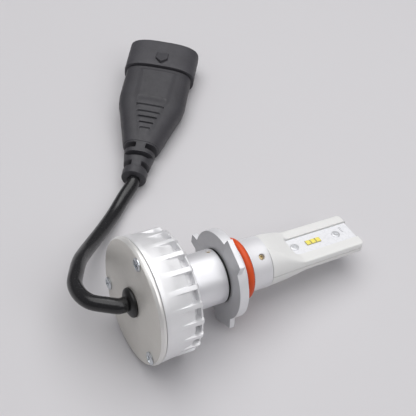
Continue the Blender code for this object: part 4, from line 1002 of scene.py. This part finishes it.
class BULB_OT_plug(Maker):
    """Connector shell, its wedge and terminals, and the moulded body with its strain relief"""

    bl_idname = "bulb.plug"
    bl_label = "Plug"

    def make(self, context):
        self.shell()
        self.wedge()
        self.body()
        for node in ("plug_terminal_1", "plug_terminal_2"):
            dress_node(node, "steel")

    def shell(self):
        """Superellipses carried along the plug: the outside, the mouth's rim, the socket and its floor."""
        phi = np.linspace(0, 2 * np.pi, 160, endpoint=False)
        s = np.array([13.0, 13.0, 12.6, 0.4, 0.05, 0.0, 0.12, 0.5, 3, 8, 12, 15.2, 15.55, 15.82, 15.9, 15.9])
        w = np.array([0.001, 13.9, 14.2, 14.2, 14.35, 14.8, 15.5, *[15.8] * 5, 15.74, 15.55, 15.1, 0.001])
        h = w - 8.05
        h[0], h[-1] = 0.001, 0.001
        y, z = superellipse(w[:, None], h[:, None], 3.0, phi[None, :])
        grid = np.stack([np.broadcast_to(s[:, None], y.shape), y, z], -1)
        finish = "plug_shell", "plug_plastic", "bulb", "plug_shell"
        add("plug_mouth_shell", grid, *finish, place=PLUG, closed=False)

    def wedge(self):
        """A five-sided locking wedge that rises towards the lead: two loops over each other."""
        u = np.array([0, 0, 0.62, 1.0, 0.62])
        v = np.array([-0.5, 0.5, 0.5, 0, -0.5])
        low = np.stack([7.65 + 7.0 * u, 5.7 * v, np.full(5, 7.0)], -1)
        high = np.stack([7.8 + 6.7 * u, 5.4 * v, 7.75 + 1.5 * (0.15 + 0.85 * u)], -1)
        centre_low, centre_high = low.mean(0, keepdims=True), high.mean(0, keepdims=True)
        rows = np.stack([np.repeat(centre_low, 5, 0), low, high, np.repeat(centre_high, 5, 0)])
        wedge = grid_object("plug_wedge", rows, PLUG, wrap_rows=False)
        soften(wedge, 0.0004, 3)
        finish_piece(wedge, material("plug_shell"), "plug_plastic", "bulb")

    def body(self):
        """Superellipse sections along a bottle-shaped outline. On them a flat panel is raised, and slots
        are pressed in: each is a product of smooth steps in distance along and across."""
        s = np.concatenate([
            [16.2, 16.2, 16.25, 16.4], np.arange(16.7, 60, 0.25), np.arange(60, 76.6, 0.12),
            [76.7, 76.85, 76.95, PLUG_LENGTH, PLUG_LENGTH],
        ])
        key = np.array([16.2, 16.7, 33, 37.5, 42, 58.5, 60, 60.3, 73.0, 73.15, 73.35, 76.6, 76.9, 77.0])
        w = np.interp(s, key, [14.2, 14.6, 14.6, 14.05, 12.6, 8.2, 7.6, 7.1, 5.05, 5.05, 5.2, 5.2, 5.08, 4.8])
        h = np.interp(s, key, [6.2, 6.6, 6.6, 6.55, 6.4, 5.85, 5.7, 5.4, 4.95, 5.0, 5.2, 5.2, 5.08, 4.8])
        p = np.interp(s, [16.2, 36, 60, 73, 77], [3.1, 3.0, 2.6, 2.1, 2.0])
        blur = np.hanning(9)
        mid = (s > 18.5) & (s < 58.5)
        for values in (w, h):
            values[mid] = np.convolve(np.pad(values, 4, "edge"), blur / blur.sum(), "valid")[mid]
        w[0] = h[0] = w[-1] = h[-1] = 0.001
        phi = np.linspace(0, 2 * np.pi, 240, endpoint=False)
        y, z = superellipse(w[:, None], h[:, None], p[:, None], phi[None, :])
        ss = np.broadcast_to(s[:, None], y.shape)
        half = np.interp(s, [17, 36, 60], [8.1, 7.3, 1.8])[:, None]
        on_top = smooth(z, 0.5, 2.0)
        off = np.abs(y)
        panel = smooth(ss, 18.0, 18.6) * (1 - smooth(ss, 56, 59)) * (1 - smooth(off, half - 1.8, half + 0.7))
        notch = smooth(ss, 34.9, 35.2) * (1 - smooth(ss, 35.2, 38.5)) * (1 - smooth(off, 5.6, 6.0))
        lift = on_top * (0.32 * panel - 0.28 * notch)
        depth = sizes().grip_depth * 1000
        for at, wide in GRIP_LINES:
            slot = (1 - smooth(np.abs(ss - at), 0.30, 0.52)) * (1 - smooth(np.abs(y), wide - 0.35, wide))
            lift = lift - depth * on_top * slot
        z = z + lift
        shrink = np.ones_like(y)
        for at, wide, floor in ((62.2, 1.35, 0.56), (71.7, 1.3, 0.60)):
            band = 1 - smooth(np.abs(ss - at), wide - 0.3, wide)
            shrink = shrink - (1 - floor) * band * smooth(np.abs(y), 2.0, 2.7)
        band = 1 - smooth(np.abs(ss - 66.7), 0.85, 1.15)
        shrink = shrink - 0.42 * band * smooth(np.abs(z), 1.6, 2.6)
        grid = np.stack([ss, y * shrink, z * shrink], -1)
        finish = "plug", "plug_plastic", "bulb", "plug_overmould"
        add("plug_body", grid, *finish, place=PLUG, closed=False, sharp=50)


class BULB_PT_panel(bpy.types.Panel):
    """Buttons for every piece"""

    bl_idname = "BULB_PT_panel"
    bl_label = "Headlight bulb"
    bl_space_type = "VIEW_3D"
    bl_region_type = "UI"
    bl_category = "Bulb"

    def draw(self, context):
        for operator in MAKERS:
            self.layout.operator(operator.bl_idname)
        for group in (context.scene.bulb_sizes, context.scene.bulb_colours):
            for name in group.bl_rna.properties.keys():
                if name not in ("rna_type", "name"):
                    self.layout.prop(group, name)


MAKERS = (
    BULB_OT_stage, BULB_OT_heat_sink, BULB_OT_cover, BULB_OT_driver, BULB_OT_neck, BULB_OT_base,
    BULB_OT_post, BULB_OT_plug, BULB_OT_lead,
)
CLASSES = (BulbSizes, BulbColours, *MAKERS, BULB_PT_panel)


def register():
    for cls in CLASSES:
        bpy.utils.register_class(cls)
    bpy.types.Scene.bulb_sizes = PointerProperty(type=BulbSizes)
    bpy.types.Scene.bulb_colours = PointerProperty(type=BulbColours)


def unregister():
    del bpy.types.Scene.bulb_sizes
    del bpy.types.Scene.bulb_colours
    for cls in reversed(CLASSES):
        bpy.utils.unregister_class(cls)


def main():
    """Registers the add-on and makes every piece."""
    register()
    for operator in MAKERS:
        group, name = operator.bl_idname.split(".")
        getattr(getattr(bpy.ops, group), name)()


if __name__ == "__main__":
    main()
